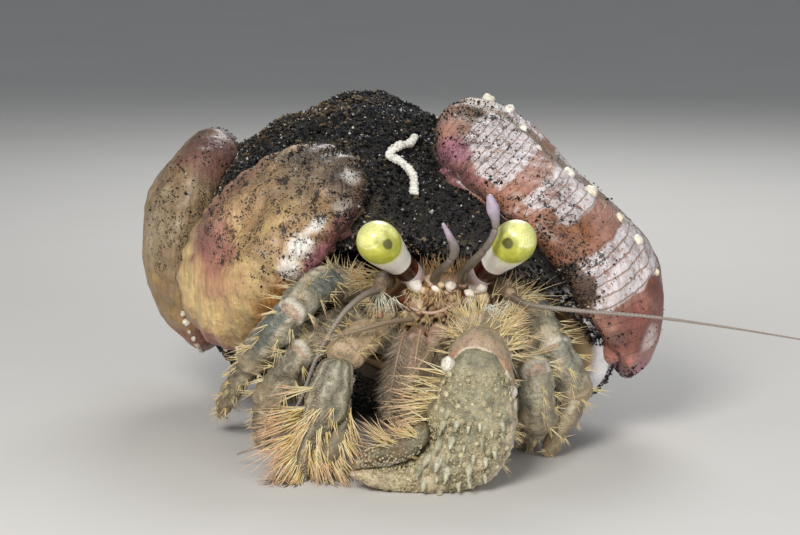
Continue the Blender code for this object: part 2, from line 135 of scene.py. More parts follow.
def noise(points, size, octaves=3):
    """Smooth noise from about -1 to 1 at points, whose largest lumps are size across. In each cell the
    eight corner values are blended by 3t^2 - 2t^3 along each axis. Each further octave is half as large and
    half as strong."""
    points = np.asarray(points, float)
    total = np.zeros(points.shape[:-1])
    for octave in range(octaves):
        p = points / size * 2.0**octave + 7.31 * octave
        cell = np.floor(p).astype(int)
        t = p - cell
        t = t * t * (3.0 - 2.0 * t)
        for corner in itertools.product((0, 1), repeat=3):
            weight = np.prod(np.where(corner, t, 1.0 - t), axis=-1)
            at = (cell + corner) % 32
            total += weight * LATTICE[at[..., 0], at[..., 1], at[..., 2]] * 0.5**octave
    return total


# %% [markdown]
# ## Shapes as arrays
#
# A shape is kept as plain arrays until it is whole: its points, its four-sided and three-sided faces, a
# place on a flat unwrap for each corner, and any number of values carried by the points, such as paint.
# Arrays are easy to join, so hundreds of grains or bristles become one mesh. A mesh could be grown face by
# face instead, but that is slow for a hundred thousand faces.

# %% Shapes and how they are joined
def grid(points, poles=None, **values):
    """A tube-like shape from points (rings, sides, 3). Ring i joins ring i + 1, and the last side joins the
    first. Each end is closed by a fan to a pole, which is the mean of the end ring if none is given. A
    value given as (rings, sides) or (rings, sides, 3) goes with the points."""
    rings, sides = points.shape[:2]
    i, k = np.meshgrid(np.arange(rings - 1), np.arange(sides), indexing="ij")
    n = (k + 1) % sides
    quads = np.stack([i * sides + k, i * sides + n, (i + 1) * sides + n, (i + 1) * sides + k], axis=-1)
    quads = quads.reshape(-1, 4)
    u = np.stack([k, k + 1, k + 1, k], axis=-1) / sides
    v = np.stack([i, i, i + 1, i + 1], axis=-1) / (rings - 1)
    k = np.arange(sides)
    n = (k + 1) % sides
    first = rings * sides
    tris = np.vstack([
        np.stack([n, k, np.full(sides, first)], axis=-1),
        np.stack([k, n, np.zeros(sides, int)], axis=-1) + (rings - 1) * sides,
    ])
    tris[sides:, 2] = first + 1
    tri_u = np.tile(np.stack([k + 1, k, k + 0.5], axis=-1) / sides, (2, 1))
    tri_v = np.vstack([np.zeros((sides, 3)), np.ones((sides, 3))])
    ends = points[[0, -1]].mean(axis=1) if poles is None else np.asarray(poles, float)
    shape = {
        "points": np.vstack([points.reshape(-1, 3), ends]),
        "quads": quads,
        "tris": tris,
        "quad_uv": np.stack([u, v], axis=-1).reshape(-1, 4, 2),
        "tri_uv": np.stack([tri_u, tri_v], axis=-1),
        "values": {},
    }
    for name, value in values.items():
        value = np.asarray(value, float)
        ends = value[[0, -1]].mean(axis=1)
        shape["values"][name] = np.concatenate([value.reshape(-1, *value.shape[2:]), ends])
    return outward(shape)


def outward(shape):
    """The shape with its faces turned outwards: the sum of the signed volumes under its faces is made
    positive."""
    p = shape["points"]
    q = shape["quads"]
    t = np.vstack([q[:, [0, 1, 2]], q[:, [0, 2, 3]], shape["tris"]])
    a, b, c = (p[t[:, k]] for k in range(3))
    if (a * np.cross(b, c)).sum() < 0:
        shape["quads"] = q[:, ::-1]
        shape["quad_uv"] = shape["quad_uv"][:, ::-1]
        shape["tris"] = shape["tris"][:, ::-1]
        shape["tri_uv"] = shape["tri_uv"][:, ::-1]
    return shape


def joined(shapes):
    """Several shapes as one: their arrays end to end. A value that a shape lacks is filled with zeros."""
    shapes = list(shapes)
    starts = np.cumsum([0] + [len(s["points"]) for s in shapes[:-1]])
    whole = {"points": np.concatenate([s["points"] for s in shapes]), "values": {}}
    for kind in ("quads", "tris"):
        whole[kind] = np.concatenate([s[kind] + start for s, start in zip(shapes, starts)])
    for kind in ("quad_uv", "tri_uv"):
        whole[kind] = np.concatenate([s[kind] for s in shapes])
    for name in sorted({n for s in shapes for n in s["values"]}):
        form = next(s["values"][name].shape[1:] for s in shapes if name in s["values"])
        parts = [s["values"].get(name, np.zeros((len(s["points"]), *form))) for s in shapes]
        whole["values"][name] = np.concatenate(parts)
    return whole


def normals_of(shape):
    """A normal for each point: the sum of the cross products of its faces' diagonals or sides."""
    p = shape["points"]
    total = np.zeros_like(p)
    for faces, corners in ((shape["quads"], (0, 2, 1, 3)), (shape["tris"], (0, 1, 0, 2))):
        a, b, c, d = (p[faces[:, k]] for k in corners)
        push = np.cross(b - a, d - c)
        for k in range(faces.shape[1]):
            for axis in range(3):
                total[:, axis] += np.bincount(faces[:, k], push[:, axis], len(p))
    return unit(total)


# %% [markdown]
# ## From arrays to a piece of the model
#
# The arrays go into a mesh in one call each. The piece stays at the origin with its place in its points, it
# rides on the frame's one body, it takes its finish, and it hides the solids that it stands for.

# %% Mesh pieces
def add_piece(name, shape, finish, replaces=(), smooth=True, uv_name="Unwrap"):
    """Makes the shape, in millimetres, a mesh object in metres about the frame's origin."""
    mesh = bpy.data.meshes.new(name)
    sizes = [4] * len(shape["quads"]) + [3] * len(shape["tris"])
    corners = np.concatenate([shape["quads"].ravel(), shape["tris"].ravel()])
    mesh.vertices.add(len(shape["points"]))
    mesh.loops.add(len(corners))
    mesh.polygons.add(len(sizes))
    mesh.vertices.foreach_set("co", ((shape["points"] - ORIGIN) * MM).ravel())
    mesh.loops.foreach_set("vertex_index", corners)
    mesh.polygons.foreach_set("loop_start", np.concatenate([[0], np.cumsum(sizes)[:-1]]).astype(int))
    mesh.polygons.foreach_set("use_smooth", np.full(len(sizes), smooth))
    uv = mesh.uv_layers.new(name=uv_name)
    uv.uv.foreach_set("vector", np.concatenate([shape["quad_uv"].ravel(), shape["tri_uv"].ravel()]))
    for key, value in shape["values"].items():
        if value.ndim == 1:
            mesh.attributes.new(key, "FLOAT", "POINT").data.foreach_set("value", value)
        else:
            rgba = np.column_stack([value, np.ones(len(value))])
            mesh.attributes.new(key, "FLOAT_COLOR", "POINT").data.foreach_set("color", rgba.ravel())
    mesh.update(calc_edges=True)
    mesh.materials.append(finish)
    piece = bpy.data.objects.new(name, mesh)
    bpy.context.scene.collection.objects.link(piece)
    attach(piece, "root")
    triangles = 2 * len(shape["quads"]) + len(shape["tris"])
    line = f"{name}: {triangles} triangles"
    if replaces:
        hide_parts(*replaces)
        boxes = [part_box(node) for node in replaces]
        low = np.min([b[0] for b in boxes], axis=0) / MM
        high = np.max([b[1] for b in boxes], axis=0) / MM
        own = shape["points"] - ORIGIN
        beyond = np.maximum(low - own.min(axis=0), own.max(axis=0) - high)
        line += f", beyond its solids by at most {beyond.max():.2f} mm"
    print(line)
    return piece


# %% [markdown]
# ## Finishes as small node trees
#
# All finishes are node trees. A helper makes a node, links the sockets it is given and sets the plain
# values, so a finish reads as a short list of layers. Patterns use the object's own coordinates in
# millimetres, or values painted on the points, and never the camera's.

# %% Helpers for finishes
def add_node(tree, kind, inputs=None, out=0, **settings):
    """Adds a node, sets its settings, links or sets its inputs, and returns one of its outputs."""
    made = tree.nodes.new(kind)
    for key, value in settings.items():
        setattr(made, key, value)
    for key, value in (inputs or {}).items():
        if isinstance(value, bpy.types.NodeSocket):
            tree.links.new(value, made.inputs[key])
        else:
            made.inputs[key].default_value = value
    return made.outputs[out]


def new_finish(name, roughness=0.5, **values):
    """An empty material with its shader, and the object's coordinates in millimetres."""
    made = bpy.data.materials.new(name)
    made.use_nodes = True
    tree = made.node_tree
    shader = tree.nodes["Principled BSDF"]
    shader.inputs["Roughness"].default_value = roughness
    for key, value in values.items():
        shader.inputs[key.replace("_", " ")].default_value = value
    coordinates = add_node(tree, "ShaderNodeTexCoord", out="Object")
    place = add_node(tree, "ShaderNodeMapping", {"Vector": coordinates, "Scale": (1 / MM, 1 / MM, 1 / MM)})
    return made, tree, shader, place


def flat_colour(value):
    """A colour as the four numbers that a colour socket takes."""
    return (*value, 1.0)


def set_colour(tree, shader, paint):
    """Links a colour to the shader."""
    tree.links.new(paint, shader.inputs["Base Color"])


def mix(tree, share, a, b, how="MIX"):
    """Blends two colours, or a colour and a socket, by a share from 0 to 1."""
    made = tree.nodes.new("ShaderNodeMix")
    made.data_type = "RGBA"
    made.blend_type = how
    for index, value in ((0, share), (6, a), (7, b)):
        if isinstance(value, bpy.types.NodeSocket):
            tree.links.new(value, made.inputs[index])
        elif index == 0:
            made.inputs[index].default_value = value
        else:
            made.inputs[index].default_value = flat_colour(value)
    return made.outputs[2]


def sums(tree, how, a, b=0.0, clamp=False, c=0.0):
    """One step of arithmetic on two numbers, or on three for MULTIPLY_ADD, which is a b + c."""
    return add_node(tree, "ShaderNodeMath", {0: a, 1: b, 2: c}, operation=how, use_clamp=clamp)


def times(tree, a, b):
    """a b, for numbers in the shader."""
    return sums(tree, "MULTIPLY", a, b)


def plus(tree, a, b):
    """a + b, for numbers in the shader."""
    return sums(tree, "ADD", a, b)


def minus(tree, a, b):
    """a - b, for numbers in the shader."""
    return sums(tree, "SUBTRACT", a, b)


def between(tree, value, low, high):
    """0 below low, 1 above high and smooth between them."""
    inputs = {"Value": value, "From Min": low, "From Max": high}
    return add_node(tree, "ShaderNodeMapRange", inputs, interpolation_type="SMOOTHSTEP")


def lumps(tree, place, size, detail=3.0, rough=0.55, stretch=None):
    """Noise from 0 to 1 whose lumps are size millimetres across."""
    if stretch is not None:
        place = add_node(tree, "ShaderNodeMapping", {"Vector": place, "Scale": stretch})
    inputs = {"Vector": place, "Scale": 1.0 / size, "Detail": detail, "Roughness": rough}
    return add_node(tree, "ShaderNodeTexNoise", inputs)


def stained(tree, paint, share, strength, tint):
    """The paint with a tint laid over it by a share times a strength."""
    return mix(tree, times(tree, share, strength), paint, tint)


def mottled(tree, paint, strength, pattern, dark, light):
    """The paint darkened where the pattern is low and lightened where it is high."""
    return mix(tree, strength, paint, mix(tree, pattern, dark, light), how="OVERLAY")


def cells(tree, place, size, scatter=1.0):
    """Distance to the nearest of points scattered about size millimetres apart, in units of size."""
    inputs = {"Vector": place, "Scale": 1.0 / size, "Randomness": scatter}
    return add_node(tree, "ShaderNodeTexVoronoi", inputs)


def painted(tree, name, out="Color"):
    """A value carried by the mesh's points."""
    return add_node(tree, "ShaderNodeAttribute", out=out, attribute_name=name)


def relief(tree, shader, *layers):
    """Bumps the shader's normal by each (height, depth in millimetres) in turn."""
    normal = None
    for height, depth in layers:
        inputs = {"Height": height, "Distance": depth * MM, "Strength": 1.0}
        if normal is not None:
            inputs["Normal"] = normal
        normal = add_node(tree, "ShaderNodeBump", inputs)
    tree.links.new(normal, shader.inputs["Normal"])


# %% [markdown]
# ## Camera, lights and floor
#
# The crab is looked at from just above the floor through a long lens, as with a macro lens from half a step
# away. The light is soft: one large lamp above and in front, a weaker one to fill the shadows, and one
# behind that draws the outline of the bristles. The floor is plain and pale.

# %% Stage
TARGET = np.array([0.0, 0.0, 25.0])
CAMERA_RISE = math.radians(10.0)
CAMERA_DISTANCE = 300.0
FOCAL_LENGTH = 108.0
SENSOR_WIDTH = 36.0
LAMPS_LOOK_AT = (4.0, 14.0, 20.0)
LAMPS = {
    # Place, size, power and tint.
    "key": ((-80.0, -240.0, 200.0), 110.0, 0.84, (1.0, 0.975, 0.94)),
    "fill": ((170.0, -230.0, 90.0), 170.0, 0.24, (0.96, 0.98, 1.0)),
    "outline": ((40.0, 260.0, 230.0), 150.0, 0.45, (1.0, 1.0, 1.0)),
}
SKY_TINT = (0.82, 0.86, 0.92, 1.0)
SKY_STRENGTH = 0.26
FLOOR_HALF = 1500.0


def in_metres(point):
    """A point of the model in the frame's metres."""
    return tuple((np.asarray(point, float) - ORIGIN) * MM)


def aim(thing, at):
    """Turns an object so that its -Z looks at a point and its Y stays up."""
    from_here = thing.location
    there = type(from_here)(in_metres(at))
    thing.rotation_euler = (there - from_here).to_track_quat("-Z", "Y").to_euler()


def add_camera():
    """A camera in front of the crab, a little above it."""
    data = bpy.data.cameras.new("camera")
    data.lens = FOCAL_LENGTH
    data.sensor_width = SENSOR_WIDTH
    data.clip_start = 0.01
    data.clip_end = 20.0
    camera = bpy.data.objects.new("camera", data)
    bpy.context.scene.collection.objects.link(camera)
    away = np.array([0.0, -math.cos(CAMERA_RISE), math.sin(CAMERA_RISE)])
    camera.location = in_metres(TARGET + CAMERA_DISTANCE * away)
    aim(camera, TARGET)
    bpy.context.scene.camera = camera


def add_lamp(name, at, size, power, tint):
    """A square area lamp that looks at the middle of the crab."""
    data = bpy.data.lights.new(name, "AREA")
    data.energy = power
    data.size = size * MM
    data.color = tint
    lamp = bpy.data.objects.new(name, data)
    bpy.context.scene.collection.objects.link(lamp)
    lamp.location = in_metres(at)
    aim(lamp, LAMPS_LOOK_AT)


def add_sky():
    """Even light from all sides."""
    world = bpy.data.worlds.new("soft light")
    world.use_nodes = True
    background = world.node_tree.nodes["Background"]
    background.inputs["Color"].default_value = SKY_TINT
    background.inputs["Strength"].default_value = SKY_STRENGTH
    bpy.context.scene.world = world


def add_floor():
    """A plain square at the level that the crab stands on."""
    half = FLOOR_HALF * MM
    corners = [(-half, -half, 0), (half, -half, 0), (half, half, 0), (-half, half, 0)]
    mesh = bpy.data.meshes.new("floor")
    mesh.from_pydata(corners, [], [(0, 1, 2, 3)])
    finish, tree, shader, place = new_finish("pale floor", roughness=0.75)
    shade = mix(tree, lumps(tree, place, 40.0, 4.0), colour(206, 204, 199), colour(214, 212, 208))
    set_colour(tree, shader, shade)
    mesh.materials.append(finish)
    floor = bpy.data.objects.new("floor", mesh)
    bpy.context.scene.collection.objects.link(floor)


add_camera()
for lamp_name, settings in LAMPS.items():
    add_lamp(lamp_name, *settings)
add_sky()
add_floor()
bpy.context.scene.view_settings.view_transform = "Standard"
print("camera at", [round(v, 4) for v in bpy.context.scene.camera.location])
# %% [markdown]
# ## The shell
#
# The house is a swollen sea snail's shell with a short spire at the back and a wide oval mouth at the
# front. Each point of it can be seen from one centre inside, so its outer face is a distance for every
# direction: the largest of a round last whorl, a swollen mouth and a cone for the spire, rounded where they
# meet. Near the mouth it flares out to a tilted oval rim. A spiral swept about an axis would also give a
# shell, but a distance for each direction lets everything that sits on the shell find its surface at once.

# %% The shell's outer face
SHELL_CENTRE = np.array([-1.0, 34.0, 21.6])
WHORL_CENTRE = np.array([-4.6, 34.0, 20.2])
WHORL_RADII = np.array([23.8, 24.0, 20.8])
MOUTH_CENTRE = np.array([7.4, 21.0, 17.5])
MOUTH_RADII = np.array([20.4, 17.0, 15.0])
SPIRE_AXIS = unit([-0.66, 0.72, 0.21])
SPIRE_HEIGHT = 43.0
SPIRE_HALF_ANGLE = math.radians(30.0)
JOIN_SHARPNESS = 11.0
RIM_CENTRE = np.array([6.3, 7.4, 16.2])
RIM_LONG = 21.6
RIM_SHORT = 10.4
RIM_TILT = math.radians(-17.0)
RIM_SET_BACK = 2.2
FLARE_FROM = 0.80
LIP_THICKNESS = 1.8
HOLLOW_END = np.array([-6.0, 40.0, 21.0])
CRUST_SPACING = 7.8
CRUST_HEIGHT = 0.5
CRUST_RADIUS = 22.0


def ellipsoid_exit(directions, start, centre, radii):
    """How far a ray from start runs before it leaves the ellipsoid: the larger root of a t^2 + 2 b t + c =
    0."""
    d = directions / radii
    o = (start - centre) / radii
    a = (d * d).sum(-1)
    b = (d * o).sum(-1)
    c = (o * o).sum() - 1.0
    return np.maximum((-b + np.sqrt(np.maximum(b * b - a * c, 0.0))) / a, 0.0)


def whorl_radius(directions):
    """Distance of the outer face before the flare: the sum of the three forms' distances, each to a high
    power, under the same root. A high power keeps the largest and rounds the places where two are alike."""
    whorl = ellipsoid_exit(directions, SHELL_CENTRE, WHORL_CENTRE, WHORL_RADII)
    mouth = ellipsoid_exit(directions, SHELL_CENTRE, MOUTH_CENTRE, MOUTH_RADII)
    angle = spire_angle(directions)
    slope = np.sin(np.minimum(angle + SPIRE_HALF_ANGLE, math.pi / 2))
    cone = SPIRE_HEIGHT * math.sin(SPIRE_HALF_ANGLE) / slope
    cone *= 1.0 - 0.45 * smooth_step(angle, math.radians(50), math.radians(110))
    k = JOIN_SHARPNESS
    return (whorl**k + mouth**k + cone**k) ** (1.0 / k)


def rim_points(turns):
    """Points round the outer edge of the mouth: an ellipse turned by its tilt, whose long ends are set
    back."""
    along = RIM_LONG * np.cos(turns)
    over = RIM_SHORT * np.sin(turns)
    return np.stack([
        RIM_CENTRE[0] + along * math.cos(RIM_TILT) - over * math.sin(RIM_TILT),
        RIM_CENTRE[1] + RIM_SET_BACK * np.cos(turns) ** 2,
        RIM_CENTRE[2] + along * math.sin(RIM_TILT) + over * math.cos(RIM_TILT),
    ], axis=-1)


SPIRE_SIDE = unit(np.cross(SPIRE_AXIS, (0.0, 0.0, 1.0)))
SPIRE_OVER = np.cross(SPIRE_SIDE, SPIRE_AXIS)


def spire_angle(directions):
    """Angle from the spire's axis."""
    return np.arccos(np.clip(directions @ SPIRE_AXIS, -1.0, 1.0))


def spire_turn(directions):
    """Turn about the spire's axis."""
    return np.arctan2(directions @ SPIRE_OVER, directions @ SPIRE_SIDE)


def rim_table():
    """For each turn about the spire: the rim's angle from the spire, and how far it flares past the whorl."""
    points = rim_points(np.linspace(0.0, 2 * math.pi, 721)[:-1])
    distance = np.linalg.norm(points - SHELL_CENTRE, axis=1)
    directions = unit(points - SHELL_CENTRE)
    angle = np.arccos(directions @ SPIRE_AXIS)
    table = np.column_stack([spire_turn(directions), angle, distance - whorl_radius(directions)])
    return table[np.argsort(table[:, 0])]


RIM_TABLE = rim_table()


def rim_at(turn):
    """The rim's angle from the spire and its flare, at a turn about the spire."""
    return tuple(np.interp(turn, RIM_TABLE[:, 0], RIM_TABLE[:, k], period=2 * math.pi) for k in (1, 2))


# %% [markdown]
# ### Where the anemones sit
#
# The crab strokes anemones off old shells and plants them on its own, where their stings guard it. Each
# one's outline is a rounded oblong in angles along and across, measured at the shell's centre, so it bends
# with the shell by itself. The outlines are needed already here, because the crust of sand is lumpy only
# where the shell is bare.

# %% Outlines of the anemones
FOOT_SHARE = 0.32
FOOT_GAP = 1.0
OUTLINE_POWER = 2.4
ANEMONES = {
    name: dict(zip(("toward", "spread", "turn", "rise", "lean"), sizes))
    for name, sizes in {
        # A point that its middle looks at, half its length and width in degrees, its turn, its height, and
        # how much higher one end is than the other.
        "anemone_front": ((-20.2, 9.2, 27.6), (34.0, 19.0), 54.0, 6.8, 0.0),
        "anemone_right": ((-32.0, 37.0, 23.0), (32.0, 22.0), 92.0, 6.4, 0.25),
        "anemone_left": ((23.4, 19.8, 32.0), (43.0, 26.5), 107.0, 7.3, 0.28),
        "anemone_back": ((16.0, 62.0, 30.0), (27.0, 23.0), 20.0, 7.0, 0.0),
    }.items()
}


def anemone_frame(spec):
    """The direction of an anemone's middle, and the directions of its length and width across it."""
    middle = unit(np.array(spec["toward"]) - SHELL_CENTRE)
    level = unit(np.cross((0.0, 0.0, 1.0), middle))
    steep = np.cross(middle, level)
    tilt = math.radians(spec["turn"])
    length = turned(tilt, level, steep)
    return middle, length, np.cross(middle, length)


def outline_reach(spec, turns):
    """Angle from the middle to the outline at a turn: a rounded oblong, where the two shares to a power add
    up to 1."""
    long_spread, short_spread = (math.radians(x) for x in spec["spread"])
    total = (np.abs(np.cos(turns)) / long_spread) ** OUTLINE_POWER
    total += (np.abs(np.sin(turns)) / short_spread) ** OUTLINE_POWER
    return total ** (-1 / OUTLINE_POWER)


def on_anemone(spec, directions):
    """For directions from the shell's centre: degrees along and across an anemone, and the share of its
    outline."""
    middle, length, width = anemone_frame(spec)
    angle = np.arccos(np.clip(directions @ middle, -1.0, 1.0))
    turn = np.arctan2(directions @ width, directions @ length)
    degrees = np.degrees(angle)
    return degrees * np.cos(turn), degrees * np.sin(turn), angle / outline_reach(spec, turn)


# %% [markdown]
# ### The whole outer face
#
# The crust's broad lumps are three waves that cross and shift each other, so no two lumps are alike. They
# are part of the shell's own distance, and so the sand and the worm's tube rise and fall with them.

# %% Distance of the outer face
def crust_height(directions):
    """Broad lumps of the crust, gone where an anemone covers the shell: products of a sine and a cosine
    whose arguments are shifted by another sine, times a smooth step of the share of each anemone's
    outline."""
    x, y, z = np.moveaxis(directions * (CRUST_RADIUS * math.pi / CRUST_SPACING), -1, 0)
    waves = np.sin(x + np.sin(y)) * np.cos(y + 1.0) + np.sin(y + np.sin(z)) * np.cos(z + 1.0)
    waves += np.sin(z + np.sin(x)) * np.cos(x + 1.0)
    for spec in ANEMONES.values():
        waves *= smooth_step(on_anemone(spec, directions)[2], 1.0, 1.15)
    return CRUST_HEIGHT * waves


def shell_radius(directions):
    """Distance of the shell's outer face from SHELL_CENTRE: the whorl, its flare at the mouth and the
    crust."""
    angle, flare = rim_at(spire_turn(directions))
    share = spire_angle(directions) / angle
    crust = crust_height(directions) * (1.0 - smooth_step(share, 0.86, 0.97))
    return whorl_radius(directions) + flare * smooth_step(share, FLARE_FROM, 1.0) ** 1.3 + crust


lowest = SHELL_CENTRE[2] - shell_radius(np.array([[0.0, 0.0, -1.0]]))[0]
print("underside of the shell above the floor before it is flattened:", round(lowest, 2), "mm")

# %% [markdown]
# ## Whorls, lip and hollow
#
# A snail adds to its shell at the mouth, so a seam winds round the spire where each turn meets the one
# before, and fine growth lines run across the whorls beside the lip. The seam is a shallow groove in the
# outer face, and the lines are a fine wave on it. The face is then carried over a thick lip and down into a
# hollow that narrows behind the crab. The value depth says where the surface lies: 0 outside, 1 on the lip
# and up to 2 at the back of the hollow. The value chalky says where the lip is bare of sand.

# %% The shell's surface
SEAM_TURNS = 2.6
SEAM_DEPTH = 0.9
GROWTH_LINES = 46


def seam_depth(angle, turn):
    """Depth of the seam between whorls: it winds inwards to the tip, one turn for each step of the cone's
    angle, as a narrow bell-shaped groove about the spiral."""
    phase = SEAM_TURNS * angle / math.radians(66.0) - turn / (2 * math.pi)
    off = np.abs(phase - np.round(phase))
    near_spire = 1.0 - smooth_step(angle, math.radians(52), math.radians(74))
    return SEAM_DEPTH * bell(off, 0.0, 0.09) * near_spire * smooth_step(angle, 0.0, 0.25)


def outside_relief(directions, angle, turn, share):
    """Lumps and growth lines of the outer face, fading out at the lip."""
    lumpy = 0.28 * noise(directions * 20.0, 4.0, 2) + 0.18 * noise(directions * 20.0, 1.5, 3)
    lines = 0.10 * np.sin(GROWTH_LINES * turn + 5.0 * angle) * smooth_step(share, 0.2, 0.6)
    return (lumpy + lines) * (1.0 - smooth_step(share, 0.93, 1.0)) - seam_depth(angle, turn)


def shell_shape(sides=300, outer=150, inner=36):
    """The whole shell: rings about the spire's axis from its tip to the rim, then over the lip and into the
    hollow."""
    turns = full_turn(sides)
    away = turned(turns[:, None], SPIRE_SIDE, SPIRE_OVER)
    last, _ = rim_at(turns)
    rings, depth = [], []
    for share in np.linspace(0.012, 1.0, outer):
        angle = last * share
        directions = turned(angle[:, None], SPIRE_AXIS, away)
        radius = shell_radius(directions) + outside_relief(directions, angle, turns, np.full(sides, share))
        rings.append(SHELL_CENTRE + directions * radius[:, None])
        depth.append(np.full(sides, smooth_step(share, 0.955, 0.995)))
    edge = rings[-1]
    inward = unit(RIM_CENTRE - edge)
    for bend in np.linspace(0.18, 0.92, 7) * math.pi:
        sink = LIP_THICKNESS * 0.5 * (1.0 - math.cos(bend))
        rings.append(edge + inward * sink - SPIRE_AXIS * 0.45 * math.sin(bend))
        depth.append(np.full(sides, 1.0))
    first = edge + inward * LIP_THICKNESS
    for share in np.linspace(0.0, 0.97, inner):
        narrowing = 1.0 - 0.35 * share - 0.62 * share**5
        centre = RIM_CENTRE + (HOLLOW_END - RIM_CENTRE) * share
        rings.append(centre + (first - RIM_CENTRE) * narrowing)
        depth.append(np.full(sides, 1.0 + share))
    rings = np.array(rings)
    rings[..., 2] = np.maximum(rings[..., 2], 0.0)
    tip = SHELL_CENTRE + SPIRE_AXIS * shell_radius(SPIRE_AXIS[None])[0]
    worn = 1.5 * noise(rings, 3.0, 3)
    chalky = smooth_step(rings[..., 0] + worn, 11.0, 16.0)
    chalky = chalky * (1.0 - smooth_step(rings[..., 2] + worn, 17.5, 20.5))
    return grid(rings, poles=(tip, rings[-1].mean(axis=0)), depth=np.array(depth), chalky=chalky)


# %% [markdown]
# The outside of the shell is hardly seen: a crust of fine dark sand and slime covers it. Its finish is
# nearly black with paler dusty patches, and a rough relief fills the gaps between the modelled grains. The
# crust runs on over most of the lip, which shows its chalky white only low on the far side. The inside is
# smooth, shiny and tan at the edge, and painted dark brown further in: painted shade deep in the hollow.

# %% The shell's finish
def shell_finish():
    """Crust, chalk and the glossy inside, laid over each other by the value depth."""
    made, tree, shader, place = new_finish("shell crust", roughness=0.85)
    crust = mix(tree, lumps(tree, place, 0.35, 4.0, 0.7), colour(12, 12, 14), colour(58, 54, 50))
    dusty = between(tree, lumps(tree, place, 8.0, 4.0), 0.50, 0.66)
    dust = mix(tree, lumps(tree, place, 0.4, 4.0, 0.7), colour(44, 38, 32), colour(104, 92, 74))
    crust = mix(tree, dusty, crust, dust)
    depth = painted(tree, "depth", out="Fac")
    chalk = mix(tree, lumps(tree, place, 0.9, 4.0, 0.6), colour(176, 168, 164), colour(232, 232, 236))
    # The inside darkens from tan to dark brown as the depth grows: painted shade deep in the hollow.
    inside = mix(tree, between(tree, depth, 1.02, 1.5), colour(204, 184, 150), colour(84, 50, 28))
    streaks = lumps(tree, place, 1.6, 3.0, stretch=(1.0, 0.2, 1.0))
    inside = mottled(tree, inside, 0.35, streaks, colour(120, 84, 48), colour(226, 196, 150))
    chalk = mix(tree, painted(tree, "chalky", out="Fac"), crust, chalk)
    shade = mix(tree, between(tree, depth, 0.35, 0.8), crust, chalk)
    shade = mix(tree, between(tree, depth, 1.0, 1.04), shade, inside)
    set_colour(tree, shader, shade)
    wet = sums(tree, "MULTIPLY_ADD", between(tree, depth, 0.6, 1.1), -0.5, c=0.88)
    tree.links.new(wet, shader.inputs["Roughness"])
    grain = times(tree, lumps(tree, place, 0.28, 2.0, 0.8), sums(tree, "SUBTRACT", 1.0, depth, True))
    relief(tree, shader, (grain, 0.35), (lumps(tree, place, 2.5, 3.0), 0.25))
    return made


shell_crust = shell_finish()
add_piece("snail_shell", shell_shape(), shell_crust, replaces=["shell"])
# %% [markdown]
# ## The anemones
#
# Drawn in, each anemone is a thick pad: a broad foot stretched over the shell, a rounded side and a
# puckered crown. The height above the shell is a cosine that falls from the crown to nothing at the margin,
# where a thin skirt grips the shell. A sculpted blob would do for one of them, but a formula lets sand,
# warts and stripes find their places on it.
#
# The side is gathered in soft folds that run from the crown to the foot, uneven because a little noise
# shifts them, and the skin has lumps of three sizes. Where the foot is loose, the skirt spreads in a frill.

# %% The anemones' surfaces
def anemone_height(spec, share, turns):
    """Height over the shell at a share of the way from the crown to the margin: rise (f + (1 - f) cos b)
    with f for FOOT_SHARE and a bend b that ends where the height is 0. Also the share of the outline's angle
    there, sin(b)^0.9."""
    last = math.acos(-FOOT_SHARE / (1.0 - FOOT_SHARE))
    bend = share * last
    lean = 1.0 + spec["lean"] * np.cos(turns) * math.sin(min(bend, 1.57))
    return spec["rise"] * (FOOT_SHARE + (1.0 - FOOT_SHARE) * math.cos(bend)) * lean, math.sin(bend) ** 0.9


def skin_relief(directions):
    """Lumps of an anemone's skin in three sizes, a little sunk so that its outline stays that of its
    solid."""
    p = directions * 26.0
    return 0.32 * noise(p, 6.0, 2) + 0.20 * noise(p, 2.4, 2) + 0.08 * noise(p, 0.9, 2) - 0.15


FRILLS = {
    # Middle turn in degrees, half width in degrees and how far the skirt spreads there in radians.
    "anemone_front": [(-42.0, 34.0, 0.055), (200.0, 40.0, 0.015)],
    "anemone_right": [(180.0, 60.0, 0.02)],
    "anemone_left": [(40.0, 34.0, 0.055), (150.0, 26.0, 0.10)],
    "anemone_back": [(90.0, 60.0, 0.03)],
}


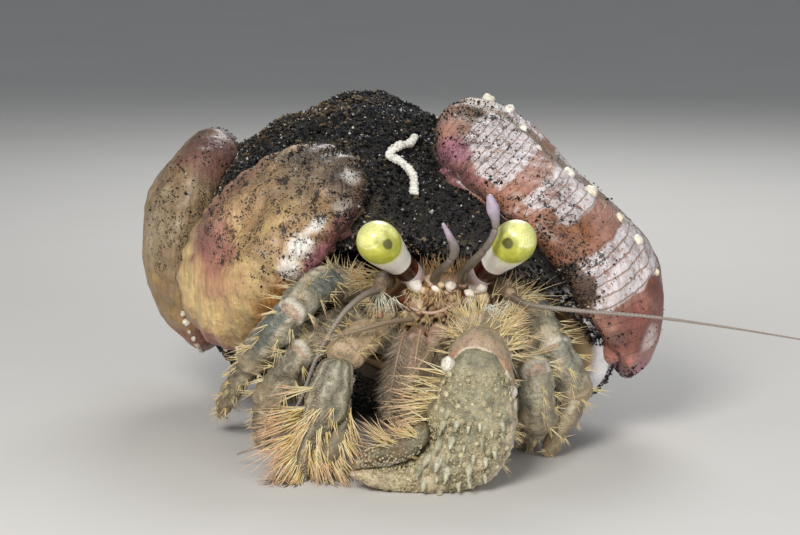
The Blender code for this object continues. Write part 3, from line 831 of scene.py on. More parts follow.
def anemone_shape(name, seed, sides=260, up=104, skirt=16, folds=23, pleats=0):
    """Rings from the crown of an anemone down its side, in under its edge and out again to a thin skirt on
    the shell. The values along and across are its own degrees, and share runs from 0 at the crown to 1 at
    the edge."""
    spec = ANEMONES[name]
    middle, length, width = anemone_frame(spec)
    turns = full_turn(sides)
    heading = turned(turns[:, None], length, width)
    reach = outline_reach(spec, turns)
    wander = noise(np.column_stack([np.cos(turns), np.sin(turns), turns * 0 + seed]) * 3.0, 1.3, 3)
    wave = np.cos(folds * turns + 2.4 * wander)
    fine_wave = np.cos(pleats * turns + 5.0 * wander) if pleats else 0.0 * turns
    frill = 0.012 + 0.0 * turns
    for at, half, spread in FRILLS[name]:
        off = (np.degrees(turns) - at + 180.0) % 360.0 - 180.0
        frill = frill + spread * bell(off, 0.0, half)
    rings, shares = [], []
    for share in np.linspace(0.02, 1.0, up):
        height, spread = anemone_height(spec, share, turns)
        angle = (reach * spread)[:, None]
        directions = turned(angle, middle, heading)
        gather = 0.22 * wave * smooth_step(share, 0.10, 0.55) * (1.0 - 0.5 * smooth_step(share, 0.8, 1.0))
        gather = gather + 0.055 * fine_wave * smooth_step(share, 0.30, 0.60)
        pucker = -1.1 * bell(share, 0.0, 0.085) + 0.35 * bell(share, 0.17, 0.07)
        over = FOOT_GAP * (1.0 - smooth_step(share, 0.7, 1.0)) + np.maximum(height, 0.12) + gather + pucker
        radius = shell_radius(directions) + np.maximum(over + skin_relief(directions), 0.25)
        rings.append(SHELL_CENTRE + directions * radius[:, None])
        shares.append(np.full(sides, share))
    edge = reach * anemone_height(spec, 1.0, turns)[1]
    for step in np.linspace(0.0, 1.0, skirt):
        angle = (edge + frill * (1.0 + 0.6 * wander + 0.25 * wave) * step)[:, None]
        directions = turned(angle, middle, heading)
        thick = 0.55 * (1.0 - step) ** 0.6 + 0.12 * np.maximum(wave, 0.0) * (1.0 - step)
        bulge = 14.0 * (frill - 0.012) * math.sin(math.pi * step) ** 0.8
        over = 0.25 + thick - 0.75 * step + bulge * (1.0 + 0.35 * wave)
        rings.append(SHELL_CENTRE + directions * (shell_radius(directions) + over)[:, None])
        shares.append(np.full(sides, 1.0 + 0.1 * step))
    for step in np.linspace(0.75, 0.1, 5):
        angle = (edge * step)[:, None]
        directions = turned(angle, middle, heading)
        rings.append(SHELL_CENTRE + directions * (shell_radius(directions) - 0.6)[:, None])
        shares.append(np.full(sides, 1.1))
    rings = np.array(rings)
    rings[..., 2] = np.maximum(rings[..., 2], 0.05)
    along, across, _ = on_anemone(spec, unit(rings - SHELL_CENTRE))
    poles = rings[0].mean(axis=0), rings[-1].mean(axis=0)
    return grid(rings, poles=poles, along=along, across=across, share=np.array(shares))


# %% [markdown]
# ### Painting the anemones
#
# The markings are broad washes: rose at the margins, cream blotches where the skin is stretched, grey where
# dust clings. Each wash is a soft spot, given by its place in the anemone's own degrees, its width and its
# colour. The edge of a spot is broken up by noise, so that it runs into its neighbours as a stain does. The
# same kind of spots gives a second value, dust, which says how thickly the finish sows its fine black
# specks.

# %% Washes of colour
TAN = colour(178, 146, 106)
HONEY = colour(226, 194, 134)
# A darker amber copy of the honey skin, used as painted shade.
AMBER_SHADE = colour(168, 112, 48)
CREAM = colour(250, 246, 236)
ROSE = colour(152, 96, 92)
ORCHID = colour(196, 122, 150)
SALMON = colour(180, 134, 118)
RUST = colour(146, 92, 64)
ASH = colour(128, 114, 94)
DUN = colour(154, 132, 100)
SMOKY = colour(112, 98, 84)


def soft_spots(along, across, ragged, spots, start):
    """Lays spots (along, across, half length, half width, value, strength) over a starting value."""
    total = start
    for a, c, long, wide, value, strength in spots:
        distance = np.sqrt(((along - a) / long) ** 2 + ((across - c) / wide) ** 2) + ragged
        total = blend_to(total, value, strength * (1.0 - smooth_step(distance, 0.45, 1.15)))
    return total


def washes(shape, ground, spots, dust, seed=0.0):
    """Paints the points of an anemone: the ground colour, mottled, and its spots, and the dust from its own
    spots."""
    along, across = shape["values"]["along"], shape["values"]["across"]
    points = shape["points"] + seed
    ragged = 0.34 * noise(points, 3.0, 4)
    shading = 1.0 + 0.12 * noise(points, 1.7, 3) + 0.16 * noise(points, 4.5, 2)
    paint = soft_spots(along, across, ragged, spots, np.tile(ground, (len(along), 1)))
    shape["values"]["paint"] = np.clip(paint * shading[:, None], 0.0, 1.0)
    level = soft_spots(along, across, ragged, dust, np.zeros(len(along)))
    shape["values"]["dust"] = np.clip(level * (1.0 + 0.5 * noise(points, 2.2, 3)), 0.0, 1.0)
    return shape


FRONT_SPOTS = [
    # The lower half is smooth and honey coloured, with painted amber shade where it turns in under, towards
    # the legs.
    (-14.0, -2.0, 18.0, 22.0, HONEY, 0.95),
    (-4.0, -18.5, 12.0, 4.5, AMBER_SHADE, 0.8),
    (-16.0, -17.0, 10.0, 4.0, AMBER_SHADE, 0.5),
    # Rose where the side turns away, and a dull pink margin beside the shell.
    (-9.2, -1.0, 8.5, 10.0, colour(200, 144, 116), 0.7),
    (-8.0, 2.0, 6.0, 8.0, ROSE, 0.7),
    (-5.0, 8.5, 8.0, 7.0, ROSE, 0.7),
    (5.0, 13.5, 12.0, 5.0, colour(146, 104, 90), 0.7),
    (20.0, -18.0, 13.0, 4.6, colour(142, 88, 86), 0.95),
    (9.0, -19.0, 6.0, 3.2, colour(182, 112, 134), 0.9),
    (28.0, -10.0, 7.0, 6.0, colour(140, 104, 94), 0.7),
    (33.0, 0.0, 4.0, 9.0, SMOKY, 0.7),
    (-31.0, -6.0, 5.0, 14.0, colour(176, 104, 110), 0.75),
    # Cream blotches, a yellow patch and a dusty grey crown.
    (12.0, -4.0, 6.0, 4.0, colour(214, 182, 124), 0.6),
    (15.0, -13.0, 3.0, 2.2, CREAM, 0.95),
    (9.0, -14.2, 3.6, 3.0, CREAM, 1.0),
    (4.0, -16.0, 3.0, 2.4, CREAM, 0.85),
    (22.0, -12.0, 2.4, 2.2, CREAM, 0.5),
    (24.0, 3.0, 13.0, 13.0, ASH, 0.85),
    (31.0, 3.0, 8.0, 17.0, colour(92, 80, 64), 0.9),
    (23.0, 6.0, 3.0, 5.0, colour(84, 78, 72), 0.7),
    (26.0, -4.0, 4.0, 4.0, colour(100, 90, 78), 0.6),
    (29.0, -6.5, 1.8, 2.8, CREAM, 0.8),
    (31.0, 2.0, 1.3, 1.6, CREAM, 0.7),
]
FRONT_DUST = [
    (20.0, 2.0, 26.0, 24.0, 0.9, 1.0),
    (28.0, 2.0, 14.0, 18.0, 1.0, 1.0),
    (14.0, -17.0, 16.0, 3.0, 1.0, 0.9),
    (4.0, 4.0, 14.0, 14.0, 0.75, 0.8),
    (-6.0, 3.0, 6.0, 11.0, 1.0, 0.8),
    (8.0, -14.0, 6.0, 3.6, 0.22, 0.9),
    (16.0, 3.0, 7.0, 3.0, 1.0, 1.0),
    (20.0, -18.0, 13.0, 4.0, 0.9, 0.9),
    (-20.0, -4.0, 14.0, 20.0, 0.0, 0.9),
]
RIGHT_SPOTS = [
    (-14.0, -8.0, 18.0, 16.0, colour(176, 142, 88), 0.8),
    (25.0, -13.0, 9.0, 8.0, colour(112, 74, 72), 0.85),
    (32.0, -4.0, 7.0, 14.0, colour(96, 68, 66), 0.8),
    (10.0, 2.0, 14.0, 12.0, colour(172, 152, 122), 0.7),
    (4.0, -16.0, 11.0, 6.0, colour(190, 172, 140), 0.8),
    (6.0, -6.0, 7.0, 5.0, colour(176, 156, 122), 0.7),
    (-27.0, -8.0, 6.0, 16.0, colour(160, 98, 84), 0.8),
    (-20.0, 12.0, 8.0, 8.0, SALMON, 0.6),
    (4.0, 14.0, 9.0, 6.0, colour(196, 180, 150), 0.5),
]
RIGHT_DUST = [
    (10.0, -4.0, 30.0, 26.0, 0.35, 1.0),
    (4.0, -20.0, 12.0, 6.0, 0.7, 0.9),
    (26.0, 6.0, 12.0, 14.0, 0.8, 0.9),
    (-22.0, 0.0, 10.0, 22.0, 0.05, 0.9),
]
BACK_SPOTS = [
    (-16.0, 0.0, 9.0, 16.0, ROSE, 0.6),
    (10.0, 10.0, 10.0, 7.0, colour(204, 188, 156), 0.6),
    (18.0, -6.0, 8.0, 9.0, colour(150, 100, 110), 0.5),
    (2.0, -16.0, 12.0, 6.0, HONEY, 0.6),
    (-4.0, 16.0, 12.0, 5.0, ROSE, 0.6),
    (0.0, 0.0, 10.0, 9.0, ASH, 0.6),
]
BACK_DUST = [(4.0, 2.0, 24.0, 20.0, 0.6, 1.0), (16.0, 10.0, 10.0, 8.0, 0.9, 0.8)]

# %% [markdown]
# The largest anemone is striped. White bands lie across it, each ruled with thin brown grooves, and dull
# salmon skin shows between them. The bands need crisp edges, which paint on the points is too coarse for,
# so the points carry only the ground, the margins and how strongly the bands show. The finish draws the
# bands from the degrees along.

# %% The striped anemone
LEFT_SPOTS = [
    # Pink margins beside the crust and under the lip, and red skin at the lower end.
    (33.0, 20.0, 9.0, 6.0, colour(176, 118, 138), 0.95),
    (22.0, 25.0, 8.0, 3.2, colour(166, 112, 116), 0.85),
    (10.0, 27.0, 8.0, 3.2, colour(172, 112, 106), 0.85),
    (-25.0, 14.0, 9.0, 20.0, colour(132, 74, 66), 0.95),
    (-24.0, 22.5, 2.4, 2.0, colour(104, 84, 76), 0.75),
    (-27.5, 15.0, 2.6, 3.4, colour(232, 206, 206), 0.85),
    (-29.5, 20.0, 2.2, 4.0, colour(206, 132, 124), 0.7),
    (-20.0, 25.5, 2.6, 1.6, colour(214, 176, 160), 0.6),
    (-36.0, 20.0, 6.0, 16.0, ORCHID, 0.9),
    (-28.0, 27.0, 9.0, 4.0, ORCHID, 0.8),
    # Rust-coloured sand in the hollow beside the eye, and black sand below it.
    (-3.0, 23.5, 9.5, 6.5, RUST, 0.95),
    (-4.0, 20.0, 4.0, 3.5, colour(166, 106, 66), 0.8),
    (9.0, 24.5, 8.0, 4.0, colour(172, 120, 96), 0.8),
    (-13.0, 25.5, 6.0, 3.0, colour(70, 58, 50), 0.85),
    # The crest is a tan ridge along the row of warts, and the far side is dun.
    (33.0, 2.0, 10.0, 14.0, ASH, 0.7),
    (2.0, -1.0, 40.0, 7.0, colour(150, 128, 100), 0.75),
    (-4.0, -16.0, 34.0, 12.0, colour(166, 128, 108), 0.5),
    (10.0, -18.0, 8.0, 7.0, ROSE, 0.6),
    (-16.0, -14.0, 9.0, 8.0, SALMON, 0.6),
]
LEFT_BANDS = [
    # Where the white bands show, from 0 to 1.
    (2.0, 6.0, 48.0, 30.0, 1.0, 1.0),
    (2.0, -2.0, 44.0, 5.5, 0.25, 0.9),
    (30.0, 22.0, 8.0, 6.0, 0.0, 0.95),
    (20.0, 26.0, 9.0, 3.0, 0.0, 0.9),
    (-2.0, 24.5, 9.0, 6.0, 0.05, 0.95),
    (9.0, 26.0, 7.0, 3.0, 0.2, 0.8),
    (-13.0, 26.0, 6.0, 3.4, 0.0, 0.9),
    (6.0, 17.0, 2.4, 4.0, 0.2, 0.7),
    (-2.0, 10.0, 2.0, 5.0, 0.3, 0.6),
    (-32.0, 18.0, 9.0, 20.0, 0.0, 1.0),
    (36.0, 0.0, 6.0, 24.0, 0.0, 0.9),
]
LEFT_DUST = [
    (0.0, 12.0, 40.0, 22.0, 0.22, 1.0),
    (26.0, 12.0, 16.0, 16.0, 0.62, 1.0),
    (33.0, 3.0, 9.0, 16.0, 0.95, 0.9),
    (5.0, 17.0, 7.0, 8.0, 0.75, 0.8),
    (22.0, 14.0, 5.0, 12.0, 0.8, 0.7),
    (-2.0, 23.0, 11.0, 6.0, 0.95, 0.95),
    (-12.0, 26.0, 6.0, 4.0, 1.0, 0.95),
    (-9.0, 19.0, 3.0, 4.0, 0.85, 0.8),
    (-22.0, 25.0, 6.0, 4.0, 0.7, 0.8),
    (2.0, -1.0, 40.0, 6.0, 0.75, 0.8),
    (-4.0, -15.0, 30.0, 10.0, 0.4, 0.8),
    (-14.0, 15.0, 5.0, 5.0, 0.10, 0.9),
]


STRIPED_SEED = 3.0


def striped_washes(shape):
    """The striped anemone's washes, and the value bands from its own spots."""
    shape = washes(shape, SALMON, LEFT_SPOTS, LEFT_DUST, STRIPED_SEED)
    along, across = shape["values"]["along"], shape["values"]["across"]
    ragged = 0.25 * noise(shape["points"] + STRIPED_SEED, 2.0, 4)
    shape["values"]["bands"] = soft_spots(along, across, ragged, LEFT_BANDS, np.zeros(len(along)))
    return shape


# %% [markdown]
# The skin is wet and a little see-through, so light spreads under it, and it keeps a soft gloss. Tiny
# grains are caught in its slime. They are dots about scattered points, and each dot is as large as the dust
# value allows, so that they merge into a dark crust where there is much dust. Streaks of noise stretched
# along Z line them up in rows.

# %% The anemones' finish
def sown_specks(tree, place):
    """Share of dark specks: the distance to scattered points, below a limit that grows with the dust."""
    dust = painted(tree, "dust", out="Fac")
    rows = between(tree, lumps(tree, place, 0.75, 2.0, stretch=(1.0, 0.7, 0.13)), 0.38, 0.60)
    patch = between(tree, lumps(tree, place, 1.5, 4.0, 0.65), 0.30, 0.68)
    amount = times(tree, sums(tree, "MULTIPLY_ADD", rows, 0.75, c=0.45), patch)
    limit = times(tree, times(tree, dust, amount), 0.95)
    small, large = sums(tree, "MINIMUM", limit, 0.40), sums(tree, "MINIMUM", limit, 0.24)
    fine = between(tree, minus(tree, small, cells(tree, place, 0.24)), 0.0, 0.08)
    coarse = between(tree, minus(tree, large, cells(tree, place, 0.62)), 0.0, 0.05)
    crusty = between(tree, times(tree, limit, lumps(tree, place, 0.40, 4.0, 0.75)), 0.34, 0.42)
    return dust, sums(tree, "MAXIMUM", sums(tree, "MAXIMUM", fine, coarse), crusty)


WHITE_BANDS = ((15.0, 31.5), (0.0, 9.6), (-16.8, -6.4))
BAND_EDGE = 0.35
GROOVE_SPACING = 2.05


def white_bands(tree, place):
    """Share of white, and of the brown grooves in it. The bands lie between limits of the degrees along,
    shifted by noise, and a groove lies wherever the degrees along, divided by the grooves' spacing, pass a
    whole number."""
    along, across = (painted(tree, key, out="Fac") for key in ("along", "across"))
    ragged = minus(tree, lumps(tree, place, 2.2, 5.0, 0.62), 0.5)
    slant = plus(tree, along, times(tree, across, 0.06))
    edge = plus(tree, slant, times(tree, ragged, 4.0))
    white = None
    for low, high in WHITE_BANDS:
        above = between(tree, edge, low - BAND_EDGE, low + BAND_EDGE)
        past = between(tree, edge, high - BAND_EDGE, high + BAND_EDGE)
        band = times(tree, above, minus(tree, 1.0, past))
        white = band if white is None else sums(tree, "MAXIMUM", white, band)
    worn = between(tree, lumps(tree, place, 1.1, 4.0, 0.7), 0.30, 0.48)
    strength = between(tree, plus(tree, painted(tree, "bands", out="Fac"), ragged), 0.25, 0.6)
    white = times(tree, times(tree, white, strength), worn)
    phase = times(tree, plus(tree, slant, times(tree, ragged, 1.2)), 1.0 / GROOVE_SPACING)
    off = sums(tree, "ABSOLUTE", minus(tree, sums(tree, "FRACT", phase), 0.5))
    groove = between(tree, off, 0.410, 0.466)
    return white, groove


SKIN_GLOSS = {
    "roughness": 0.42, "Coat_Weight": 0.22, "Coat_Roughness": 0.28,
    "Subsurface_Weight": 0.10, "Subsurface_Scale": 0.0010, "Subsurface_Radius": (1.0, 0.5, 0.35),
}


def anemone_finish(name, striped=False):
    """Paint, then the bands if there are any, then mottling, painted shade along fine creases, blotches, dust
    and specks.
    """
    made, tree, shader, place = new_finish(name, **SKIN_GLOSS)
    paint = painted(tree, "paint")
    fine = lumps(tree, place, 0.7, 5.0, 0.68)
    folded = lumps(tree, place, 0.8, 3.0, 0.55, stretch=(1.0, 0.8, 0.13))
    layers = [(lumps(tree, place, 2.2, 3.0), 0.45), (folded, 0.22), (fine, 0.16)]
    if striped:
        white, groove = white_bands(tree, place)
        pale = mix(tree, lumps(tree, place, 1.2, 4.0), colour(216, 202, 198), colour(250, 246, 252))
        paint = mix(tree, white, paint, pale)
        drawn = times(tree, groove, sums(tree, "MULTIPLY_ADD", white, 0.72, c=0.05))
        paint = mix(tree, drawn, paint, colour(158, 122, 94))
        layers.append((minus(tree, 1.0, groove), 0.12))
    paint = mottled(tree, paint, 0.42, fine, (0.20, 0.19, 0.17), (0.84, 0.82, 0.80))
    # Thin brown lines along fine creases: painted shade in the creases.
    creases = lumps(tree, place, 0.55, 3.0, 0.55, stretch=(1.0, 0.8, 0.13))
    crease_shade = between(tree, creases, 0.46, 0.66)
    paint = stained(tree, paint, crease_shade, 0.34, colour(96, 64, 44))
    blotchy = between(tree, lumps(tree, place, 1.6, 5.0, 0.7), 0.40, 0.62)
    paint = stained(tree, paint, blotchy, 0.20, colour(120, 84, 62))
    dust, specks = sown_specks(tree, place)
    film = times(tree, times(tree, dust, 0.56), lumps(tree, place, 0.5, 4.0, 0.7))
    paint = mix(tree, film, paint, colour(84, 74, 62))
    paint = stained(tree, paint, specks, 0.90, colour(30, 26, 24))
    set_colour(tree, shader, paint)
    relief(tree, shader, *layers, (specks, 0.12))
    return made


soft_skin = anemone_finish("anemone skin")
striped_skin = anemone_finish("striped anemone skin", striped=True)
front = anemone_shape("anemone_front", 1.0, sides=420, up=130, pleats=67)
front = washes(front, TAN, FRONT_SPOTS, FRONT_DUST, seed=1.0)
right = washes(anemone_shape("anemone_right", 2.0), DUN, RIGHT_SPOTS, RIGHT_DUST, seed=2.0)
left = striped_washes(anemone_shape("anemone_left", 3.0, sides=340, up=140))
back = washes(anemone_shape("anemone_back", 4.0), DUN, BACK_SPOTS, BACK_DUST, seed=4.0)
add_piece("front_anemone", front, soft_skin, replaces=["anemone_front"])
add_piece("right_anemone", right, soft_skin, replaces=["anemone_right"])
add_piece("left_anemone", left, striped_skin, replaces=["anemone_left"])
add_piece("back_anemone", back, soft_skin, replaces=["anemone_back"])
# %% [markdown]
# ## The worm's tube
#
# A small worm has built its chalky tube across the top of the shell. It bends back and forth, thickens
# where the worm rested and is ringed like a stack of collars. It is a circle carried along a smooth line
# that lies on the shell, with bulges on its radius.

# %% Worm tube
WORM_AIMS = [
    (2.1, 24.1, 38.6), (1.3, 21.9, 38.0), (-0.4, 19.4, 37.9), (-1.4, 18.4, 36.9), (-0.4, 17.9, 36.3),
    (0.9, 17.2, 35.4), (1.7, 16.1, 34.5), (1.9, 14.4, 33.4), (1.8, 12.8, 32.4),
]
WORM_RADIUS = 0.53
WORM_COLLARS = 26


def worm_tube_shape(count=190, sides=32):
    """A ringed tube: radius WORM_RADIUS, with a bulge at each collar and lumps of chalk from noise."""
    directions = unit(np.array(WORM_AIMS) - SHELL_CENTRE)
    points = SHELL_CENTRE + directions * (shell_radius(directions)[:, None] + 1.0)
    line = smooth_rows(points, count)
    heading = unit(np.gradient(line, axis=0))
    out = unit(line - SHELL_CENTRE)
    side = unit(np.cross(heading, out))
    turns = full_turn(sides)[None, :, None]
    collars = 0.05 * np.sin(np.linspace(0.0, 2 * math.pi * WORM_COLLARS, count))[:, None, None]
    circle = turned(turns, side[:, None], out[:, None])
    rings = line[:, None] + circle * (WORM_RADIUS + collars)
    rings = rings + circle * (0.16 * noise(rings, 1.1, 3) + 0.05 * noise(rings, 0.3, 2))[..., None]
    return grid(rings)


def chalk_finish():
    """Dull chalk, darker in its dips."""
    made, tree, shader, place = new_finish("worm chalk", roughness=0.72)
    fine = lumps(tree, place, 0.35, 4.0, 0.7)
    shade = mix(tree, between(tree, fine, 0.30, 0.55), colour(150, 142, 122), colour(240, 238, 228))
    set_colour(tree, shader, shade)
    relief(tree, shader, (fine, 0.12))
    return made


add_piece("worm_tube_on_shell", worm_tube_shape(), chalk_finish(), replaces=["worm_tube"])

# %% [markdown]
# ## Sand
#
# Volcanic sand sticks to the shell's slime: mostly black and grey grains, some tan ones, and a few near-white
# ones, which stand for white shell and, as painted highlights, for the glints of clear quartz. On the
# anemones it lies mostly on the upper sides, in drifts. Each grain is an octahedron with its corners pushed
# about, so it has eight flat facets. Places are chosen evenly over the sphere of directions and kept or
# dropped by a density, which is one formula for the bare shell and another for each anemone.

# %% Grains
def round_unwrap(points, centre):
    """Place of each point on an unwrap of the skin: its turn about Z and its tilt from Z, seen from the
    centre."""
    seen = unit(points - centre)
    turn = np.arctan2(seen[:, 1], seen[:, 0]) / (2 * math.pi) + 0.5
    return np.column_stack([turn, np.arccos(np.clip(seen[:, 2], -1.0, 1.0)) / math.pi]) * 0.99


GRAIN_CORNERS = np.array([(1, 0, 0), (-1, 0, 0), (0, 1, 0), (0, -1, 0), (0, 0, 1), (0, 0, -1)], float)
GRAIN_FACES = np.array([
    (0, 2, 4), (2, 1, 4), (1, 3, 4), (3, 0, 4), (2, 0, 5), (1, 2, 5), (3, 1, 5), (0, 3, 5),
])
PATCH = 0.003


def grain_shape(centres, sizes, tints, seed):
    """Faceted grains as one shape: each corner of each octahedron is pushed by up to a third of the grain's
    size. Each grain's own patch of the unwrap lies at its direction from the shell's centre."""
    random = np.random.default_rng(seed)
    count = len(centres)
    corners = GRAIN_CORNERS + random.uniform(-0.33, 0.33, (count, 6, 3))
    corners = corners * random.uniform(0.7, 1.25, (count, 1, 3))
    points = centres[:, None] + corners * sizes[:, None, None]
    tris = (GRAIN_FACES[None] + 6 * np.arange(count)[:, None, None]).reshape(-1, 3)
    roots = round_unwrap(centres, SHELL_CENTRE)
    flat = np.array([(0, 0), (1, 0), (0.5, 1)]) * PATCH
    uv = np.repeat(roots, 8, axis=0)[:, None] + flat
    return {
        "points": points.reshape(-1, 3), "quads": np.zeros((0, 4), int), "tris": tris,
        "quad_uv": np.zeros((0, 4, 2)), "tri_uv": uv, "values": {"paint": np.repeat(tints, 6, axis=0)},
    }


def sphere_directions(count, seed):
    """Even random directions: z is uniform, and the turn about it is too."""
    random = np.random.default_rng(seed)
    z = random.uniform(-1.0, 1.0, count)
    turn = random.uniform(0.0, 2 * math.pi, count)
    flat = np.sqrt(1.0 - z * z)
    return np.column_stack([flat * np.cos(turn), flat * np.sin(turn), z])


def rim_share(directions):
    """Share of the way from the spire's tip to the rim of the mouth: more than 1 lies in the mouth."""
    angle, _ = rim_at(spire_turn(directions))
    return spire_angle(directions) / angle


def covered(directions, reach):
    """Whether a direction lies under one of the anemones, within a share of its outline."""
    under = np.zeros(len(directions), bool)
    for spec in ANEMONES.values():
        under |= on_anemone(spec, directions)[2] < reach
    return under


def grain_tints(count, light, seed):
    """Colours of grains: black to grey, with tan ones by the share light, and a few near-white ones, partly
    white shell and partly painted glints.
    """
    random = np.random.default_rng(seed)
    dark = blend_to(colour(10, 10, 12), colour(74, 74, 76), random.random(count) ** 2.8)
    tan = blend_to(colour(58, 50, 40), colour(136, 118, 92), random.random(count) ** 1.7)
    tints = np.where((random.random(count) < light)[:, None], tan, dark)
    # Near-white grains: partly white shell, partly painted glints that stand for light off clear grains.
    bright = random.random(count) < 0.014 + 0.012 * light
    glint = blend_to(colour(150, 150, 148), colour(226, 224, 214), random.random(count))
    return np.where(bright[:, None], glint, tints)


# %% [markdown]
# The crust is thickest between the anemones over the mouth. Brown dust lies on the side away from the
# striped anemone. The crust also runs over the lip above the crab's head, so the lip shows its chalk only
# at the far side.

# %% Sand on the shell
def shell_sand(count, seed):
    """Grains on the bare shell, two layers deep, and over the upper lip."""
    directions = sphere_directions(count, seed)
    share = rim_share(directions)
    keep = (share < 1.0) & (directions[:, 2] > -0.80) & ~covered(directions, 0.97)
    directions, share = directions[keep], share[keep]
    random = np.random.default_rng(seed + 1)
    sizes = random.lognormal(math.log(0.138), 0.40, len(directions)).clip(0.07, 0.42)
    angle = spire_angle(directions)
    radius = shell_radius(directions) + outside_relief(directions, angle, spire_turn(directions), share)
    points = SHELL_CENTRE + directions * (radius + sizes * random.uniform(0.1, 1.1, len(sizes)))[:, None]
    tilt = 0.035 * (-4.0 - points[:, 0]) + 0.02 * (points[:, 1] - 34.0)
    light = 0.06 + 0.62 * smooth_step(noise(points, 9.0, 3) + tilt, 0.0, 0.8)
    points[:, 2] = np.maximum(points[:, 2], 0.4)
    return grain_shape(points, sizes, grain_tints(len(points), light, seed + 2), seed + 3)


def lip_sand(count, seed):
    """Grains along the upper lip, from its outer edge to its inner one, thinning out inwards."""
    random = np.random.default_rng(seed)
    turns = random.uniform(0.30, math.pi + 0.35, count)
    edge = rim_points(turns)
    inward = unit(RIM_CENTRE - edge)
    into = random.random(count) ** 1.5 * 2.6
    depth = 0.3 + 0.35 * np.maximum(into - 1.2, 0.0)
    points = edge + inward * into[:, None] + SPIRE_AXIS * depth[:, None]
    points = points - SPIRE_AXIS * random.uniform(0.4, 1.0, count)[:, None]
    sizes = random.lognormal(math.log(0.17), 0.35, count).clip(0.09, 0.36)
    return grain_shape(points, sizes, grain_tints(count, 0.12, seed + 1), seed + 2)


def sand_finish():
    """Wet sand: the grain's own colour with a dark fleck or two, and a sharp gloss that makes facets
    glint."""
    made, tree, shader, place = new_finish("wet sand", roughness=0.30)
    fleck = lumps(tree, place, 0.14, 3.0, 0.7)
    shade = mottled(tree, painted(tree, "paint"), 0.5, fleck, (0.1, 0.1, 0.1), (0.95, 0.95, 0.95))
    set_colour(tree, shader, shade)
    return made


wet_sand = sand_finish()
for number in range(4):
    sand = shell_sand(21500, 401 + 10 * number)
    add_piece(f"shell_sand_{number + 1}", sand, wet_sand, smooth=False, uv_name="OFBake")
add_piece("lip_sand", lip_sand(3200, 441), wet_sand, smooth=False, uv_name="OFBake")

# %% Sand on the anemones
def oval_bell(along, middle, long, across, side, wide):
    """A bell-shaped hump over an oval place: e to the power of minus the sum of two squares."""
    return np.exp(-(((along - middle) / long) ** 2) - ((across - side) / wide) ** 2)


def anemone_sand(name, count, density, seed, size, light):
    """Grains on an anemone, kept where density(along, across, share, points) is above a random number."""
    spec = ANEMONES[name]
    middle, length, width = anemone_frame(spec)
    random = np.random.default_rng(seed)
    turn = random.uniform(0.0, 2 * math.pi, count)
    share = np.sqrt(random.random(count))
    last = math.acos(-FOOT_SHARE / (1.0 - FOOT_SHARE))
    bend = share * last
    lean = 1.0 + spec["lean"] * np.cos(turn) * np.sin(np.minimum(bend, 1.57))
    height = spec["rise"] * (FOOT_SHARE + (1.0 - FOOT_SHARE) * np.cos(bend)) * lean
    angle = (outline_reach(spec, turn) * np.sin(bend) ** 0.9)[:, None]
    directions = turned(angle, middle, turned(turn[:, None], length, width))
    over = FOOT_GAP * (1.0 - smooth_step(share, 0.7, 1.0)) + np.maximum(height, 0.12)
    over = over + skin_relief(directions)
    points = SHELL_CENTRE + directions * (shell_radius(directions) + over + 0.03)[:, None]
    along, across, _ = on_anemone(spec, directions)
    keep = random.random(count) < density(along, across, share, points)
    points = points[keep]
    sizes = random.lognormal(math.log(size), 0.40, len(points)).clip(0.05, 0.30)
    return grain_shape(points, sizes, grain_tints(len(points), light, seed + 1), seed + 2)


def front_density(along, across, share, points):
    """Specks over the upper two thirds, drifts near the crown's upper end, and rows that follow the folds."""
    drift = smooth_step(noise(points, 3.6, 3) + 0.05 * (along - 18.0), 0.25, 0.75)
    rows = smooth_step(np.sin(across * 2.6 + 1.5 * noise(points, 4.0, 2)), 0.2, 1.0)
    high = smooth_step(along, -9.0, 3.0) * smooth_step(19.0 - np.abs(across), 0.0, 4.0)
    near_crown = smooth_step(along, 6.0, 20.0)
    upper_edge = smooth_step(share, 0.74, 0.90) * near_crown * smooth_step(across, -14.0, -4.0)
    speckled = high * (0.20 + 0.30 * rows + 1.1 * drift * near_crown)
    speckled = speckled + oval_bell(along, 22.0, 2.6, across, 6.0, 4.0) * (0.3 + rows)
    return np.clip(speckled + upper_edge * (0.4 + drift), 0.0, 1.0)


def left_density(along, across, _, points):
    """Specks all over, black drifts along the inner edge and one along the crest."""
    drift = smooth_step(noise(points, 3.0, 3), 0.30, 0.75)
    inner = oval_bell(along, -12.0, 6.5, across, 25.5, 3.6)
    inner = inner + 0.9 * oval_bell(along, 1.0, 10.0, across, 23.0, 4.5) * (0.25 + drift)
    inner = inner + 1.2 * oval_bell(along, -9.0, 3.0, across, 19.0, 3.5) * drift
    crest = bell(across, 3.0, 7.0) * smooth_step(along, -12.0, 6.0)
    top = smooth_step(along, 24.0, 34.0)
    return np.clip(0.10 + 0.28 * drift + 1.0 * inner + (0.5 * crest + 0.5 * top) * (0.3 + drift), 0.0, 1.0)


def rear_density(_along, _across, _share, points):
    """Drifts on what faces up, little below."""
    drift = smooth_step(noise(points, 4.0, 3), 0.0, 0.8)
    return np.clip((0.10 + 0.45 * drift) * smooth_step(points[:, 2], 16.0, 34.0), 0.0, 1.0)


for side, slot, *sowing in (
    # Side, look, places tried, density, seed, size in millimetres and share of tan grains.
    ("front", "anemone", 24000, front_density, 461, 0.092, 0.2),
    ("left", "anemone_striped", 19000, left_density, 471, 0.105, 0.2),
    ("right", "anemone", 9000, rear_density, 481, 0.12, 0.4),
    ("back", "anemone", 9000, rear_density, 491, 0.12, 0.3),
):
    sand = anemone_sand(f"anemone_{side}", *sowing)
    add_piece(f"sand_on_{side}_anemone", sand, wet_sand, smooth=False, uv_name="OFBake")

# %% [markdown]
# ### Pearls
#
# A row of white warts stands along the side of each anemone. Through their pores it shoots out stinging
# threads when it is teased. They are lumpy pebbles set into the skin, placed by the anemone's own
# degrees along and across.

